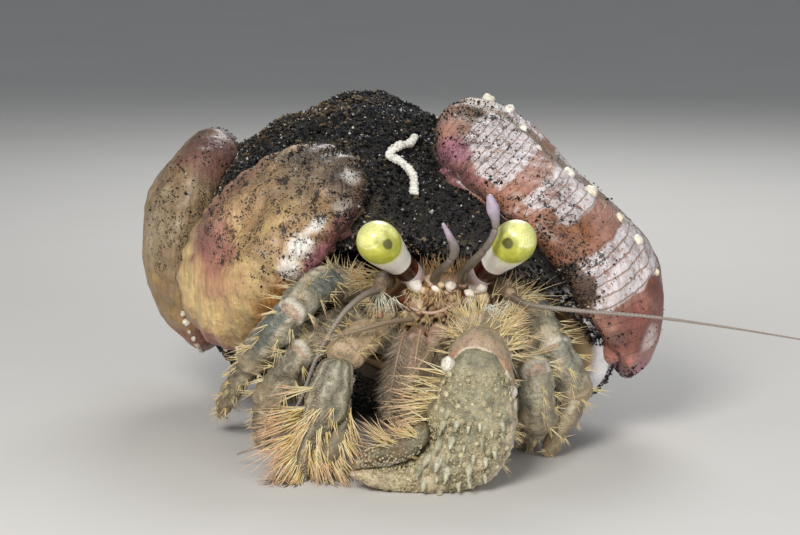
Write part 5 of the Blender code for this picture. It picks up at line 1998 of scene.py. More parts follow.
def arm_shape(joints, widths, depths, wide, tints, seed):
    """The two articles of a claw's arm, painted. The far one narrows upwards like an arch."""
    articles = chain(joints, ("merus", "carpus"), wide, widths, depths, ARM_BOWS)
    shapes = []
    for i, (part, article) in enumerate(articles.items()):
        article["girth"], article["rough"] = ARTICLE, 0.7
        shape = article_shape(article, rings=96, sides=64, far_dome=(0.5, 0.42)[i], seed=seed + i)
        shape = limb_paint(shape, tints[i], stripe=0.15, tan=0.2, seed=seed)
        if part == "carpus":
            start, end = (np.asarray(article[k], float) for k in ("start", "end"))
            _, wide_way, deep = article_frame(start, end, article["wide"])
            off = shape["points"] - start
            high = np.clip(np.abs(off @ deep) / article["depth"], 0.0, 1.0) ** 2
            squeeze = (off @ wide_way) * 0.22 * high * smooth_step(shape["values"]["t"], 0.4, 0.9)
            shape["points"] = shape["points"] - squeeze[:, None] * wide_way
        shapes.append(shape)
    return shapes, articles


LIP_THICK = 0.62


def hood_lip(back, front, count=150, sides=36):
    """The lip: at a share s of the arch and a turn a, middle + cos(a) half the way from back to front +
    sin(a) LIP_THICK outwards, and both shrink at the arch's ends by (1 - (2 s - 1)^8)^(1/2)."""
    back, front = smooth_rows(back, count), smooth_rows(front, count)
    middle, across = (back + front) / 2, (front - back) / 2 * 1.06
    along = unit(np.gradient(middle, axis=0))
    out = unit(np.cross(across, along))
    out = out * np.sign((out * (middle - middle.mean(axis=0))).sum(axis=-1, keepdims=True))
    share = np.linspace(0.0, 1.0, count)
    closing = np.sqrt(np.maximum(1.0 - (2.0 * share - 1.0) ** 8, 0.02))[:, None, None]
    turns = full_turn(sides)[None, :, None]
    oval = np.cos(turns) * across[:, None] + np.sin(turns) * LIP_THICK * out[:, None]
    points = middle[:, None] + closing * oval
    bumps = 0.10 * noise(points, 1.6, 3) + 0.03 * noise(points, 0.5, 2)
    points = points + out[:, None] * bumps[..., None]
    forward = np.broadcast_to(np.cos(turns[..., 0]), points.shape[:2])
    shape = grid(points, forward=forward, share=np.broadcast_to(share[:, None], points.shape[:2]))
    forward, share = shape["values"]["forward"], shape["values"]["share"]
    patchy = noise(shape["points"], 1.5, 4)
    rosy = smooth_step(forward + 0.5 * patchy, -0.6, 0.6)
    orange = smooth_step(forward + 0.3 * patchy, 0.35, 0.85) * smooth_step(np.abs(share - 0.45), 0.12, 0.30)
    pale_end = smooth_step(share + 0.06 * patchy, 0.86, 0.96)
    paint = blend_to(colour(160, 146, 122), colour(182, 156, 130), rosy)
    paint = blend_to(paint, colour(192, 138, 96), 0.75 * orange)
    paint = blend_to(paint, colour(226, 214, 196), 0.7 * smooth_step(forward, 0.90, 0.97))
    shape["values"]["paint"] = blend_to(paint, colour(216, 206, 190), 0.6 * pale_end)
    return shape


shapes, arm_left = arm_shape(ARM_LEFT, (2.5, 3.7), (2.1, 3.1), (1.0, 0.0, 0.0), (HOOD, HOOD), 9.0)
shapes.append(hood_lip(HOOD_BACK, HOOD_FRONT))
shapes += [pebble(*knuckle) for knuckle in KNUCKLES]
great_arm = joined(shapes)
add_piece("great_arm", great_arm, crab_crust, replaces=["claw_left_merus", "claw_left_carpus"])
SMALL_TINTS = (GREY_GREEN, colour(188, 162, 130))
shapes, arm_right = arm_shape(ARM_RIGHT, (1.9, 2.4), (1.8, 2.1), (1.0, 0.0, 0.0), SMALL_TINTS, 12.0)
small_arm = joined(shapes)
add_piece("small_arm", small_arm, crab_crust, replaces=["claw_right_merus", "claw_right_carpus"])

# %% [markdown]
# ### The small claw
#
# The right claw is slim and nearly hidden in its own bristles. Its hand is grey brown with pale and
# dark ribs along it, and its two fingers close to a blunt point.

# %% Small claw
hand, small_rows = hand_shape(SMALL_HAND, SMALL_DEPTH, lumpy=0.16, seed=7.0, rings=120, sides=72)
tints = (colour(126, 118, 100), colour(170, 156, 130), colour(150, 130, 100))
hand = hand_paint(hand, *tints, seed=4.0, ribs=0.55)
hand = joined([hand, fine_granules(small_rows, 420, 41, 0.07, 0.17, colour(166, 156, 128))])
add_piece("small_hand", hand, crab_crust, replaces=["claw_right_palm"])
sizes = {"lumpy": 0.12, "seed": 8.0, "rings": 70, "sides": 48}
finger, small_finger_rows = hand_shape(SMALL_FINGER, SMALL_FINGER_DEPTH, **sizes)
finger = hand_paint(finger, colour(140, 130, 108), colour(160, 140, 112), colour(176, 150, 112), seed=5.0)
add_piece("small_finger", finger, crab_crust, replaces=["claw_right_finger"])
# %% [markdown]
# ## Tubes along a line
#
# Feelers, mouth legs and the stems of the plumes are round and bend freely. Each is a circle carried along
# a smooth line, with its radius read from the same line. The circle's side direction is kept from ring to
# ring, so it never twists.

# %% Tube shape
def tube_shape(points, radii, sides=20, count=120, ripple=None, **values):
    """A tube whose middle is a smooth curve through the points and whose radius follows the radii. ripple
    gives a factor on the radius for shares of the length. The share of the length is kept as along."""
    rows = smooth_rows(np.column_stack([points, radii]), count)
    heading = unit(np.gradient(rows[:, :3], axis=0))
    turns = full_turn(sides)[:, None]
    share = np.linspace(0.0, 1.0, count)
    thick = rows[:, 3] * (1.0 if ripple is None else ripple(share))
    side = unit(np.cross(heading[0], (0.0, 0.3, 1.0)))
    rings = []
    for centre, radius, ahead in zip(rows[:, :3], thick, heading):
        side = unit(side - (side @ ahead) * ahead)
        rings.append(centre + radius * turned(turns, side, np.cross(ahead, side)))
    rings = np.array(rings)
    rings[..., 2] = np.maximum(rings[..., 2], 0.03)
    poles = rows[0, :3] - heading[0] * thick[0] * 0.4, rows[-1, :3] + heading[-1] * thick[-1] * 0.8
    shape = (count, sides)
    carried = {key: np.broadcast_to(value, shape + np.shape(value)) for key, value in values.items()}
    return grid(rings, poles=poles, along=np.repeat(share[:, None], sides, axis=1), **carried)


# %% [markdown]
# ## Eyes
#
# A hermit crab's eye is shaped like a bullet: a white stalk that widens upwards, and a dome of many tiny
# lenses that covers its end at a slant. The radius follows a smooth curve through a few heights, and an
# ellipse over the dome's middle. The cap lies on the same bullet. Its points are found along rays from the
# dome's middle, halving the step until the surface is met, and the rays end square to a slanting direction,
# so that the cap's edge is a slanting oval. The dark spot is where one looks straight down the lenses, so
# it is painted on the side that faces forward.

# %% Shape of the eyes
EYE_DOME = 3.2
EYE_PROFILE = ((0.0, 1.56), (2.3, 1.64), (5.1, 1.82), (7.2, 2.24), (9.0, 2.54), (10.4, 2.62))
EYES = {
    "right": {"base": (1.8, 4.6, 23.0), "tip": (-2.6, -3.0, 28.6), "spot": (0.40, -0.90, 0.10)},
    "left": {"base": (9.9, 4.6, 22.8), "tip": (14.1, -3.0, 28.7), "spot": (-0.36, -0.92, 0.10)},
}


def eye_axis(eye):
    """Base, middle of the dome, direction and length of an eye."""
    base, tip = (np.array(eye[k]) for k in ("base", "tip"))
    return base, tip, unit(tip - base), np.linalg.norm(tip - base)


def eye_girth(height, length):
    """Radius at a height: the smooth profile up to the dome's middle, then girth (1 - (over /
    dome)^2)^(1/2)."""
    fine = smooth_rows(EYE_PROFILE, 120)
    below = np.interp(height * EYE_PROFILE[-1][0] / length, fine[:, 0], fine[:, 1])
    over = np.clip((height - length) / EYE_DOME, -1.0, 1.0)
    return np.where(height < length, below, EYE_PROFILE[-1][1] * np.sqrt(1.0 - over**2))


def eye_cap(eye, rings=84, sides=110):
    """The cap as rings of rays about its slanting pole. Past the edge the rings turn in and meet at the
    middle."""
    _, tip, along, length = eye_axis(eye)
    spot = unit(np.array(eye["spot"]))
    pole = unit(along + 1.1 * spot)
    side = unit(np.cross(pole, (0.0, 0.0, 1.0)))
    bend = np.linspace(0.015, 1.0, rings)[:, None, None] * math.radians(93.0)
    turns = full_turn(sides)[None, :, None]
    rays = turned(bend, pole, turned(turns, side, np.cross(pole, side)))
    up = rays @ along
    out = np.sqrt(np.maximum(1.0 - up**2, 0.0))
    near, far = np.full(up.shape, 0.5), np.full(up.shape, 5.0)
    for _ in range(26):
        half = (near + far) / 2
        inside = half * out < eye_girth(length + half * up, length)
        near, far = np.where(inside, half, near), np.where(inside, far, half)
    share = np.broadcast_to(bend[..., 0] / bend.max(), up.shape)
    reach = near + 0.07 * np.sqrt(np.clip((1.0 - share) / 0.03, 0.0, 1.0))
    rings = list(tip + rays * reach[..., None])
    rings += [tip + rays[-1] * (near[-1] - 0.2)[:, None], tip + rays[-1] * 0.8]
    share = np.vstack([share, share[-1:], share[-1:]])
    return grid(np.array(rings), poles=(rings[0].mean(axis=0) + pole * 0.001, tip), rim=share)


def eye_stalk(eye, rings=130, sides=64):
    """The whole bullet under the cap: circles of the girth along the axis. The height is kept."""
    base, _, along, length = eye_axis(eye)
    height = np.linspace(0.0, length + EYE_DOME * 0.995, rings)
    side = unit(np.cross(along, (0.0, 0.0, 1.0)))
    turns = full_turn(sides)[:, None]
    circle = turned(turns, side, np.cross(along, side))
    points = base + height[:, None, None] * along + eye_girth(height, length)[:, None, None] * circle
    return grid(points, height=np.repeat(height[:, None], sides, axis=1))


# %% [markdown]
# The cap is yellow green and clear. Its paint is paler above, a painted light, and greener below, a painted
# shade; it is also paler on the outer side, greener round the spot and palest along its rim. The stalk is
# ivory, with a red-brown band and a lilac ring at its foot.

# %% Paint of the eyes
def paint_cap(shape, eye):
    """Yellow by the slope of the surface, paler where it faces up as painted light and greener where it
    faces down as painted shade, a spot with a soft halo, and the rim by the share of the way to it."""
    _, tip, along, _ = eye_axis(eye)
    look = unit(shape["points"] - tip)
    off = np.degrees(np.arccos(np.clip(look @ unit(np.array(eye["spot"])), -1.0, 1.0)))
    murky = noise(shape["points"] + 3.0, 1.4, 4)
    rim = shape["values"]["rim"]
    # Paler where the cap faces up: painted light.
    upper = smooth_step(look[:, 2] + 0.4 * murky, -0.3, 0.9)
    paint = blend_to(colour(216, 216, 96), colour(240, 240, 160), upper)
    outer = smooth_step(look @ along + 0.05 * murky, 0.80, 0.84)
    paint = blend_to(paint * (1.0 + 0.12 * murky)[:, None], colour(238, 238, 166), 0.75 * outer)
    # Greener and mottled where the cap faces down: painted shade with some mottling.
    green = smooth_step(-look[:, 2] - 0.1 + 0.7 * murky, 0.0, 0.7) * (1.0 - outer)
    paint = blend_to(paint, colour(164, 166, 56), 0.6 * green)
    seam = bell(look @ along, 0.80, 0.035)
    paint = blend_to(paint, colour(252, 252, 214), 0.55 * seam * smooth_step(off, 14.0, 24.0))
    paint = blend_to(paint, colour(150, 150, 62), 0.55 * (1.0 - smooth_step(off + 12 * murky, 14.0, 36.0)))
    before_rim = 0.6 * smooth_step(rim, 0.74, 0.86) * (1.0 - smooth_step(rim, 0.87, 0.91))
    paint = blend_to(paint, colour(178, 180, 76), before_rim)
    paint = blend_to(paint, colour(254, 254, 206), smooth_step(rim, 0.89, 0.92))
    paint = blend_to(paint, colour(48, 46, 18), 0.92 * (1.0 - smooth_step(off + 3.5 * murky, 10.5, 16.0)))
    shape["values"]["paint"] = np.clip(paint, 0.0, 1.0)
    return shape


def paint_stalk(shape):
    """Ivory, a dark band between two heights and a lilac ring under it."""
    height = shape["values"]["height"] + 0.10 * noise(shape["points"], 1.2, 2)
    paint = blend_to(colour(255, 252, 244), colour(255, 254, 232), smooth_step(height, 6.5, 9.5))
    band = smooth_step(height, 2.0, 2.2) * (1.0 - smooth_step(height, 4.7, 5.0))
    cloudy = smooth_step(noise(shape["points"], 0.9, 3), 0.0, 0.8)
    dark = blend_to(colour(52, 16, 12), colour(96, 36, 26), cloudy)
    paint = blend_to(paint, dark, band)
    paint = blend_to(paint, colour(216, 196, 204), 1.0 - smooth_step(height, 1.85, 2.05))
    shape["values"]["paint"] = blend_to(paint, colour(190, 170, 156), 1.0 - smooth_step(height, 0.9, 1.2))
    return shape


def glassy_finish():
    """A clear coat over soft paint, with many small cells for the lenses."""
    gloss = {"Coat_Weight": 0.35, "Coat_Roughness": 0.10}
    soft = {"Subsurface_Weight": 0.22, "Subsurface_Scale": FLESHY}
    made, tree, shader, place = new_finish("eye cap", roughness=0.30, **soft, **gloss)
    facets = cells(tree, place, 0.15, scatter=0.30)
    patches = between(tree, lumps(tree, place, 1.3, 3.0), 0.35, 0.6)
    lens = times(tree, between(tree, facets, 0.35, 0.65), patches)
    shade = stained(tree, painted(tree, "paint"), lens, 0.5, colour(132, 134, 46))
    shade = mottled(tree, shade, 0.35, lumps(tree, place, 0.8, 4.0), (0.25, 0.26, 0.16), (0.80, 0.80, 0.60))
    set_colour(tree, shader, shade)
    relief(tree, shader, (facets, 0.015))
    return made


eye_glass = glassy_finish()
soft = {"Subsurface_Weight": 0.15, "Subsurface_Scale": FLESHY}
ivory = smooth_finish("eye stalk ivory", 0.22, size=0.5, strength=0.12, depth=0.03, **soft)
for side, eye in EYES.items():
    cap = paint_cap(eye_cap(eye), eye)
    add_piece(f"cap_of_{side}_eye", cap, eye_glass, replaces=[f"eye_{side}"])
    stalk = paint_stalk(eye_stalk(eye))
    add_piece(f"stalk_of_{side}_eye", stalk, ivory, replaces=[f"eye_stalk_{side}"])

# %% [markdown]
# ## Feelers
#
# The two small feelers, the antennules, stand between the eyes. They are grey brown at the foot and lilac
# grey above, with a few joints, and end in a slim brush that tastes the water. The two long feelers are
# whips of many short rings. Each ring is a slight bulge, so the radius ripples along the whip.

# %% Antennules and antennae
ANTENNULES = {
    # Points of the middle line, the radius at each, and the shares of the length where its joints are.
    "right": (
        [(4.3, 3.2, 22.9), (5.1, 1.2, 24.5), (6.2, -1.0, 25.9), (6.8, -2.0, 27.6), (6.2, -2.6, 29.2),
         (5.3, -3.0, 31.0)],
        [0.62, 0.58, 0.50, 0.60, 0.46, 0.22],
        (0.24, 0.46),
    ),
    "left": (
        [(7.9, 3.2, 22.8), (8.1, 0.0, 24.6), (9.2, -3.6, 26.5), (10.6, -5.8, 28.6), (11.5, -6.6, 30.5),
         (11.6, -6.8, 32.0), (11.3, -6.8, 33.4), (10.9, -6.8, 35.0)],
        [0.66, 0.62, 0.56, 0.46, 0.42, 0.52, 0.80, 0.42],
        (0.20, 0.40, 0.62),
    ),
}
ANTENNAE = {
    "left": (
        [(14.0, -0.1, 21.3), (16.2, -1.8, 20.6), (21.8, -2.4, 20.0), (31.4, -1.0, 18.9), (41.0, 1.0, 17.2),
         (52.0, 3.6, 14.9)],
        [0.50, 0.38, 0.27, 0.20, 0.15, 0.09],
    ),
    "right": (
        [(-2.8, -0.4, 22.2), (-4.6, -2.2, 21.8), (-7.2, -3.2, 19.6), (-10.2, -3.9, 14.6),
         (-12.6, -4.4, 8.6), (-15.8, -4.2, 4.0), (-20.5, -2.6, 1.6)],
        [0.52, 0.42, 0.34, 0.28, 0.22, 0.17, 0.10],
    ),
}
ANTENNA_BASES = {
    "right": ([(-1.6, 5.6, 22.2), (-2.2, 3.2, 22.8), (-2.6, 0.4, 22.2)], [1.1, 1.15, 0.8]),
    "left": ([(13.0, 5.6, 21.6), (13.4, 3.2, 21.8), (13.9, 0.4, 21.4)], [1.15, 1.2, 0.8]),
}
SMOKE = colour(176, 160, 178)


def antennule_shape(points, radii, joints):
    """A feeler with narrow joints at some shares of its length: a narrow dip of the radius at each."""
    shape = tube_shape(points, radii, sides=26, count=150,
                       ripple=lambda s: 1.0 - 0.22 * sum(bell(s, j, 0.014) for j in joints))
    along = shape["values"]["along"]
    murky = noise(shape["points"], 0.9, 3)
    greyer = smooth_step(along + 0.12 * murky, 0.10, 0.55)
    paint = blend_to(colour(92, 84, 70), colour(124, 116, 108), greyer)
    paint = blend_to(paint, SMOKE, smooth_step(along + 0.1 * murky, 0.6, 0.95))
    ring = sum(bell(along, j, 0.012) for j in joints)
    shape["values"]["paint"] = blend_to(paint, colour(92, 76, 70), 0.6 * np.minimum(ring, 1.0))
    return shape


def whip_shape(points, radii, rings=95):
    """A long feeler: its radius swells and narrows by a tenth with each ring of horn."""
    shape = tube_shape(points, radii, sides=12, count=rings * 6,
                       ripple=lambda s: 0.93 + 0.12 * np.abs(np.sin(rings * math.pi * s)))
    along = shape["values"]["along"]
    bands = 0.5 + 0.5 * np.sin(rings * 2 * math.pi * along)
    paint = blend_to(colour(104, 92, 76), colour(150, 142, 132), smooth_step(along, 0.0, 0.5))
    shape["values"]["paint"] = paint * (0.80 + 0.20 * bands)[:, None]
    return shape


def patchy_paint(shape, size, first, second):
    """Paint a shape in soft patches of two colours, with patches of about a size."""
    patchy = noise(shape["points"], size, 3)
    shape["values"]["paint"] = blend_to(first, second, smooth_step(patchy, -0.4, 0.6))
    return shape


soft = {"Subsurface_Weight": 0.3, "Subsurface_Scale": FLESHY}
feeler_skin = smooth_finish("feeler", 0.35, strength=0.3, depth=0.03, **soft)
for side, feeler in ANTENNULES.items():
    shape = antennule_shape(*feeler)
    add_piece(f"small_feeler_{side}", shape, feeler_skin, replaces=[f"antennule_{side}"])
for side, feeler in ANTENNAE.items():
    shape = whip_shape(*feeler)
    add_piece(f"long_feeler_{side}", shape, feeler_skin, replaces=[f"antenna_{side}"])
for side, (points, radii) in ANTENNA_BASES.items():
    shape = tube_shape(points, radii, sides=40, count=60, ripple=lambda s: 1.0 - 0.16 * bell(s, 0.45, 0.04))
    shape = patchy_paint(shape, 1.0, colour(126, 104, 82), colour(172, 150, 122))
    add_piece(f"feeler_base_{side}", shape, crab_crust, replaces=[f"antenna_base_{side}"])

# %% [markdown]
# ## Trunk and face
#
# The front of the trunk is a hard shield, and behind it lies the soft belly that the shell protects. Below
# the eyes sit two white scales and the pinkish roots of the feelers. Under them is the mouth: small pale
# plates, red-brown skin between them, and a thin pale lip. The plates are lumpy pebbles laid side by side.

# %% Trunk
TRUNK = [
    # Place along y, middle x, middle z, half width and half height.
    (6.4, 5.9, 20.2, 5.0, 2.2), (7.6, 5.9, 20.0, 6.4, 3.0), (12.0, 5.8, 19.2, 7.6, 3.9),
    (18.0, 4.6, 18.8, 8.2, 4.3), (23.0, 3.2, 18.6, 7.4, 4.4), (25.6, 2.4, 18.4, 5.2, 3.4),
    (27.4, 2.0, 18.5, 4.5, 4.2), (29.0, 1.4, 18.7, 4.2, 4.0), (31.0, 0.0, 19.0, 3.2, 3.1),
    (32.6, -1.4, 19.4, 1.6, 1.5),
]


def trunk_shape(count=110, sides=84):
    """The shield and the belly as one skin: ovals that follow the rows, with a groove across the shield."""
    rows = smooth_rows(TRUNK, count)
    turns = full_turn(sides)
    rings = np.stack([
        rows[:, 1:2] + rows[:, 3:4] * np.cos(turns),
        rows[:, 0:1] + 0.0 * turns,
        rows[:, 2:3] + rows[:, 4:5] * np.sin(turns),
    ], axis=-1)
    middle = rows[:, None, [1, 0, 2]]
    groove = 0.5 * bell(rows[:, 0:1], 15.0, 0.9) * (np.sin(turns) > 0)
    rings = rings + unit(rings - middle) * (0.35 * noise(rings, 2.4, 3) - groove)[..., None]
    shape = grid(rings)
    y = shape["points"][:, 1]
    patchy = noise(shape["points"], 2.2, 4)
    paint = blend_to(colour(150, 116, 84), colour(104, 84, 62), smooth_step(patchy, -0.3, 0.6))
    paint = blend_to(paint, colour(206, 168, 150), smooth_step(y, 20.0, 25.0))
    shape["values"]["paint"] = paint
    return shape


def face_shapes():
    """The small parts of the face, each a pebble (centre, radii, heading, colour)."""
    white, rosy, wine = colour(240, 230, 216), colour(190, 158, 134), colour(96, 38, 28)
    cream, orange = colour(216, 192, 156), colour(168, 112, 74)
    parts = [
        ((1.8, 3.2, 22.3), (1.25, 0.8, 0.9), (0.3, -0.7, 0.3), white),
        ((9.9, 3.0, 22.0), (1.25, 0.8, 0.9), (-0.3, -0.7, 0.3), white),
        ((3.7, 3.6, 22.6), (0.8, 0.75, 0.7), (0.0, -1.0, 0.2), rosy),
        ((5.2, 3.4, 22.3), (0.6, 0.5, 0.6), (0.0, -1.0, 0.0), cream),
        ((6.4, 3.3, 22.0), (0.75, 0.6, 0.6), (0.3, -1.0, 0.0), white),
        ((7.8, 3.5, 22.4), (0.8, 0.75, 0.7), (0.0, -1.0, 0.2), rosy),
        ((4.4, 3.2, 21.6), (0.6, 0.5, 0.55), (0.2, -1.0, 0.3), white),
        ((2.9, 3.1, 21.4), (0.5, 0.5, 0.6), (0.2, -1.0, 0.3), cream),
        ((8.8, 3.0, 21.2), (0.7, 0.55, 0.6), (-0.2, -1.0, 0.1), white),
        ((0.6, 3.4, 20.6), (0.8, 0.7, 1.3), (0.1, 0.0, 1.0), wine),
        ((8.3, 3.2, 19.8), (1.0, 0.8, 1.2), (-0.4, 0.0, 1.0), wine),
        ((2.0, 3.8, 19.0), (1.4, 0.9, 1.4), (0.0, 0.0, 1.0), cream),
        ((5.9, 3.9, 20.2), (1.6, 0.9, 1.3), (0.0, 0.0, 1.0), rosy),
        ((-2.6, 1.8, 18.6), (0.55, 0.4, 0.5), (1.0, 0.0, 0.4), orange),
        ((3.2, 4.2, 20.6), (2.6, 1.0, 1.4), (0.0, 0.0, 1.0), colour(190, 140, 92)),
        ((10.6, 3.6, 20.4), (1.2, 0.9, 1.0), (0.0, -1.0, 0.0), cream),
    ]
    shapes = [pebble(*part) for part in parts]
    random = np.random.default_rng(51)
    centres = np.column_stack([
        random.uniform(0.4, 9.2, 80), random.uniform(2.2, 3.6, 80), random.uniform(15.6, 21.6, 80),
    ])
    tints = blend_to(colour(214, 188, 148), colour(112, 76, 50), random.random(80) ** 0.6)
    for centre, tint in zip(centres, tints):
        radii = random.uniform(0.18, 0.52, 3) * (1.0, 1.0, 1.7)
        heading = random.normal(size=3)
        shapes.append(pebble(centre, radii, heading, tint, rings=12, sides=14))
    lip = [(0.9, 2.6, 19.9), (2.0, 2.1, 19.2), (3.8, 1.9, 18.8), (5.6, 2.1, 19.2), (6.9, 2.6, 20.0)]
    radii = [0.20, 0.26, 0.24, 0.27, 0.18]
    shapes.append(tube_shape(lip, radii, sides=16, count=60, paint=colour(186, 156, 138)))
    return shapes


soft = {"Subsurface_Weight": 0.1, "Subsurface_Scale": FLESHY}
face_skin = smooth_finish("face and trunk", 0.42, size=0.5, strength=0.45, depth=0.12, **soft)
trunk = joined([trunk_shape()] + face_shapes())
add_piece("trunk", trunk, face_skin, replaces=["carapace", "abdomen"])
MOUTH_LEGS = {
    "right": [(3.5, 6.4, 15.0), (2.2, 3.0, 16.0), (1.4, -0.6, 14.4), (1.2, -2.4, 10.8)],
    "left": [(6.5, 6.4, 15.0), (5.0, 3.0, 16.4), (4.3, -0.6, 15.0), (4.0, -2.6, 11.4)],
}
for side, points in MOUTH_LEGS.items():
    shape = tube_shape(points, [1.1, 1.15, 0.95, 0.5], sides=32, count=90,
                       ripple=lambda s: 1.0 - 0.2 * bell(s, 0.45, 0.03) - 0.2 * bell(s, 0.75, 0.03))
    shape = patchy_paint(shape, 1.2, colour(184, 152, 134), colour(140, 112, 96))
    add_piece(f"mouth_leg_{side}", shape, face_skin, replaces=[f"maxilliped_{side}"])
# %% [markdown]
# ## Bristles
#
# Stiff bristles grow from pits along every edge of the plates and in thick fans on the small claw. They
# could be particle hair, but hair is lost when a model is exported. So each bristle is a slim three-sided
# needle, bent a little by its own weight and stuck in the plate at its root. They are made by the hundred
# as arrays. The paint runs from golden straw at the root to a paler or rosy tip, with each needle a little
# lighter or darker than the next.

# %% Needles and fans
CRAB_MIDDLE = (4.0, 4.0, 12.0)
PER_TUFT = 6


def bristles(roots, headings, lengths, radius, sag, spread, seed, pale=0.0, dark=0.0, rings=5, rose=0.0):
    """Needles from the roots: at a share s of its length L, a needle's middle is root + heading L s, and it
    falls by sag L s^2. Its radius is radius (1 - s)^0.6. Each heading is first turned by a random step of
    the size spread."""
    random = np.random.default_rng(seed)
    count = len(roots)
    headings = unit(unit(headings) + random.normal(scale=spread, size=(count, 3)))
    lengths = np.broadcast_to(lengths, count) * random.uniform(0.72, 1.12, count)
    s = np.linspace(0.0, 0.92, rings)[None, :, None]
    bend = np.array([0.0, 0.0, -sag]) + random.normal(scale=0.07, size=(count, 3))
    length = lengths[:, None, None]
    middle = roots[:, None] + headings[:, None] * length * (s - 0.06) + bend[:, None] * length * s**2
    side = unit(np.cross(headings, (0.21, 0.33, 0.92)))
    turns = random.uniform(0, 2, count)[:, None, None] + np.arange(3)[None, :, None] * 2 * math.pi / 3
    circle = turned(turns, side[:, None], np.cross(headings, side)[:, None])
    girth = radius * random.uniform(0.8, 1.2, count)[:, None, None, None] * (1.0 - s[..., None]) ** 0.6
    points = middle[:, :, None, :] + circle[:, None, :, :] * girth
    tips = roots + headings * lengths[:, None] + bend * lengths[:, None]
    points[..., 2] = np.maximum(points[..., 2], 0.05)
    tips[:, 2] = np.maximum(tips[:, 2], 0.05)
    tone = random.uniform(0.0, 1.0, count)
    shape = needles(points, tips, roots_uv=round_unwrap(roots, CRAB_MIDDLE), tone=tone)
    along, tone = shape["values"]["along"], shape["values"]["tone"]
    straw = blend_to(colour(230, 196, 122), colour(250, 240, 198), tone)
    straw = blend_to(straw, colour(244, 242, 226), pale)
    straw = blend_to(straw, colour(164, 108, 40), dark)
    tip = blend_to(colour(246, 222, 176), colour(238, 178, 146), tone)
    tip = blend_to(tip, colour(236, 158, 138), 0.7 * rose)
    paint = blend_to(straw, blend_to(tip, straw, 0.6 * pale), smooth_step(along, 0.35, 1.0) * 0.8)
    shape["values"]["paint"] = paint * (0.86 + 0.14 * smooth_step(along, 0.0, 0.2))[:, None]
    del shape["values"]["tone"]
    return shape


def row_of_roots(start, end, count, jitter, seed):
    """Roots scattered along a line, and each one's share of the way."""
    random = np.random.default_rng(seed)
    share = random.random(count)
    start, end = np.asarray(start, float), np.asarray(end, float)
    return start + (end - start) * share[:, None] + random.normal(scale=jitter, size=(count, 3)), share


def fan(start, end, toward_start, toward_end, count, length, seed, jitter=0.3, spread=0.22, radius=0.07,
        pale=0.0, dark=0.0):
    """Bristles along a line, whose direction turns from one given at its start to another at its end."""
    roots, share = row_of_roots(start, end, count, jitter, seed)
    headings = blend_to(unit(toward_start), unit(toward_end), share)
    return bristles(roots, headings, length, radius, 0.08, spread, seed + 1, pale, dark)


def hand_bristles(rows, count, t_range, turn_range, pull, fall, length, seed, spread=0.16, radius=0.085,
                  rose=0.0):
    """Bristles on a hand, in tufts of PER_TUFT: each points outwards, plus a pull, plus a fall that grows
    with t."""
    feet, push, t = scattered(rows, count // PER_TUFT, t_range, turn_range, seed)
    random = np.random.default_rng(seed + 5)
    roots = np.repeat(feet, PER_TUFT, axis=0) + random.normal(scale=0.16, size=(len(feet) * PER_TUFT, 3))
    headings = push + np.asarray(pull) + np.asarray(fall) * t[:, None]
    headings = np.repeat(headings, PER_TUFT, axis=0)
    lengths = np.repeat(length * random.uniform(0.75, 1.1, len(feet)), PER_TUFT)
    return bristles(roots, headings, lengths, radius, 0.06, spread, seed + 6, rose=rose)


def article_bristles(article, turns, spacing, length, seed, per_tuft=PER_TUFT, radius=0.065, lean=0.7):
    """Tufts in rows along an article: one row for each turn, a tuft every spacing millimetres, leaning
    forward."""
    size = np.linalg.norm(np.asarray(article["end"], float) - np.asarray(article["start"], float))
    random = np.random.default_rng(seed)
    count = max(int(size / spacing), 2)
    total = count * len(turns)
    t = np.tile(np.linspace(0.14, 0.97, count), len(turns)) + random.normal(scale=0.03, size=total)
    turn = np.radians(np.repeat(turns, count) + random.normal(scale=9.0, size=total))
    feet, push = article_point(article, np.clip(t, 0.05, 1.0), turn, out=-0.1)
    along, _, _ = article_frame(article["start"], article["end"], article["wide"])
    headings = np.repeat(push + lean * along, per_tuft, axis=0)
    roots = np.repeat(feet, per_tuft, axis=0) + random.normal(scale=0.13, size=(len(feet) * per_tuft, 3))
    return bristles(roots, headings, length, radius, 0.05, 0.27, seed + 1)


# %% [markdown]
# A bristle is horn, smooth and a little shiny. Its finish only takes the paint from its points.

# %% Bristle finish
def bristle_finish():
    """Plain horn, painted from its points."""
    soft = {"Subsurface_Weight": 0.12, "Subsurface_Scale": 0.0006}
    made, tree, shader, _ = new_finish("bristle", roughness=0.38, **soft)
    set_colour(tree, shader, painted(tree, "paint"))
    return made


bristle_horn = bristle_finish()

# %% [markdown]
# ### Where the bristles grow
#
# The small claw carries the longest fans. The great claw has fans on the edge that faces the mouth and a
# fringe round its hood. Rows of tufts follow the legs, and a beard of short bristles surrounds the eyes and
# the mouth.

# %% Claw bristles
small_fans = joined([
    hand_bristles(small_rows, 230, (0.14, 0.95), (-45.0, 30.0), (-0.25, -0.35, 0.1), (0.1, 0.0, -1.15),
                  6.6, 101, radius=0.11, rose=1.0),
    hand_bristles(small_rows, 120, (0.22, 0.95), (40.0, 130.0), (-0.45, -0.1, -0.5), (0.3, 0.0, -0.8),
                  3.8, 103, radius=0.09, rose=0.5),
    hand_bristles(small_rows, 150, (0.22, 0.80), (145.0, 200.0), (-0.45, -0.45, -0.9), (-0.1, 0.0, -0.8),
                  6.0, 105, radius=0.11, rose=0.5),
    hand_bristles(small_finger_rows, 84, (0.1, 0.9), (120.0, 210.0), (-0.1, -0.3, -0.8), (0.0, 0.0, -0.8),
                  4.4, 107, radius=0.10, rose=0.6),
    article_bristles(arm_right["carpus"], (10.0, 60.0, 120.0, 170.0), 1.8, 3.2, 109),
    article_bristles(arm_right["merus"], (20.0, 80.0, 140.0), 2.4, 3.4, 111, per_tuft=5),
])
add_piece("small_claw_bristles", small_fans, bristle_horn, uv_name="OFBake")
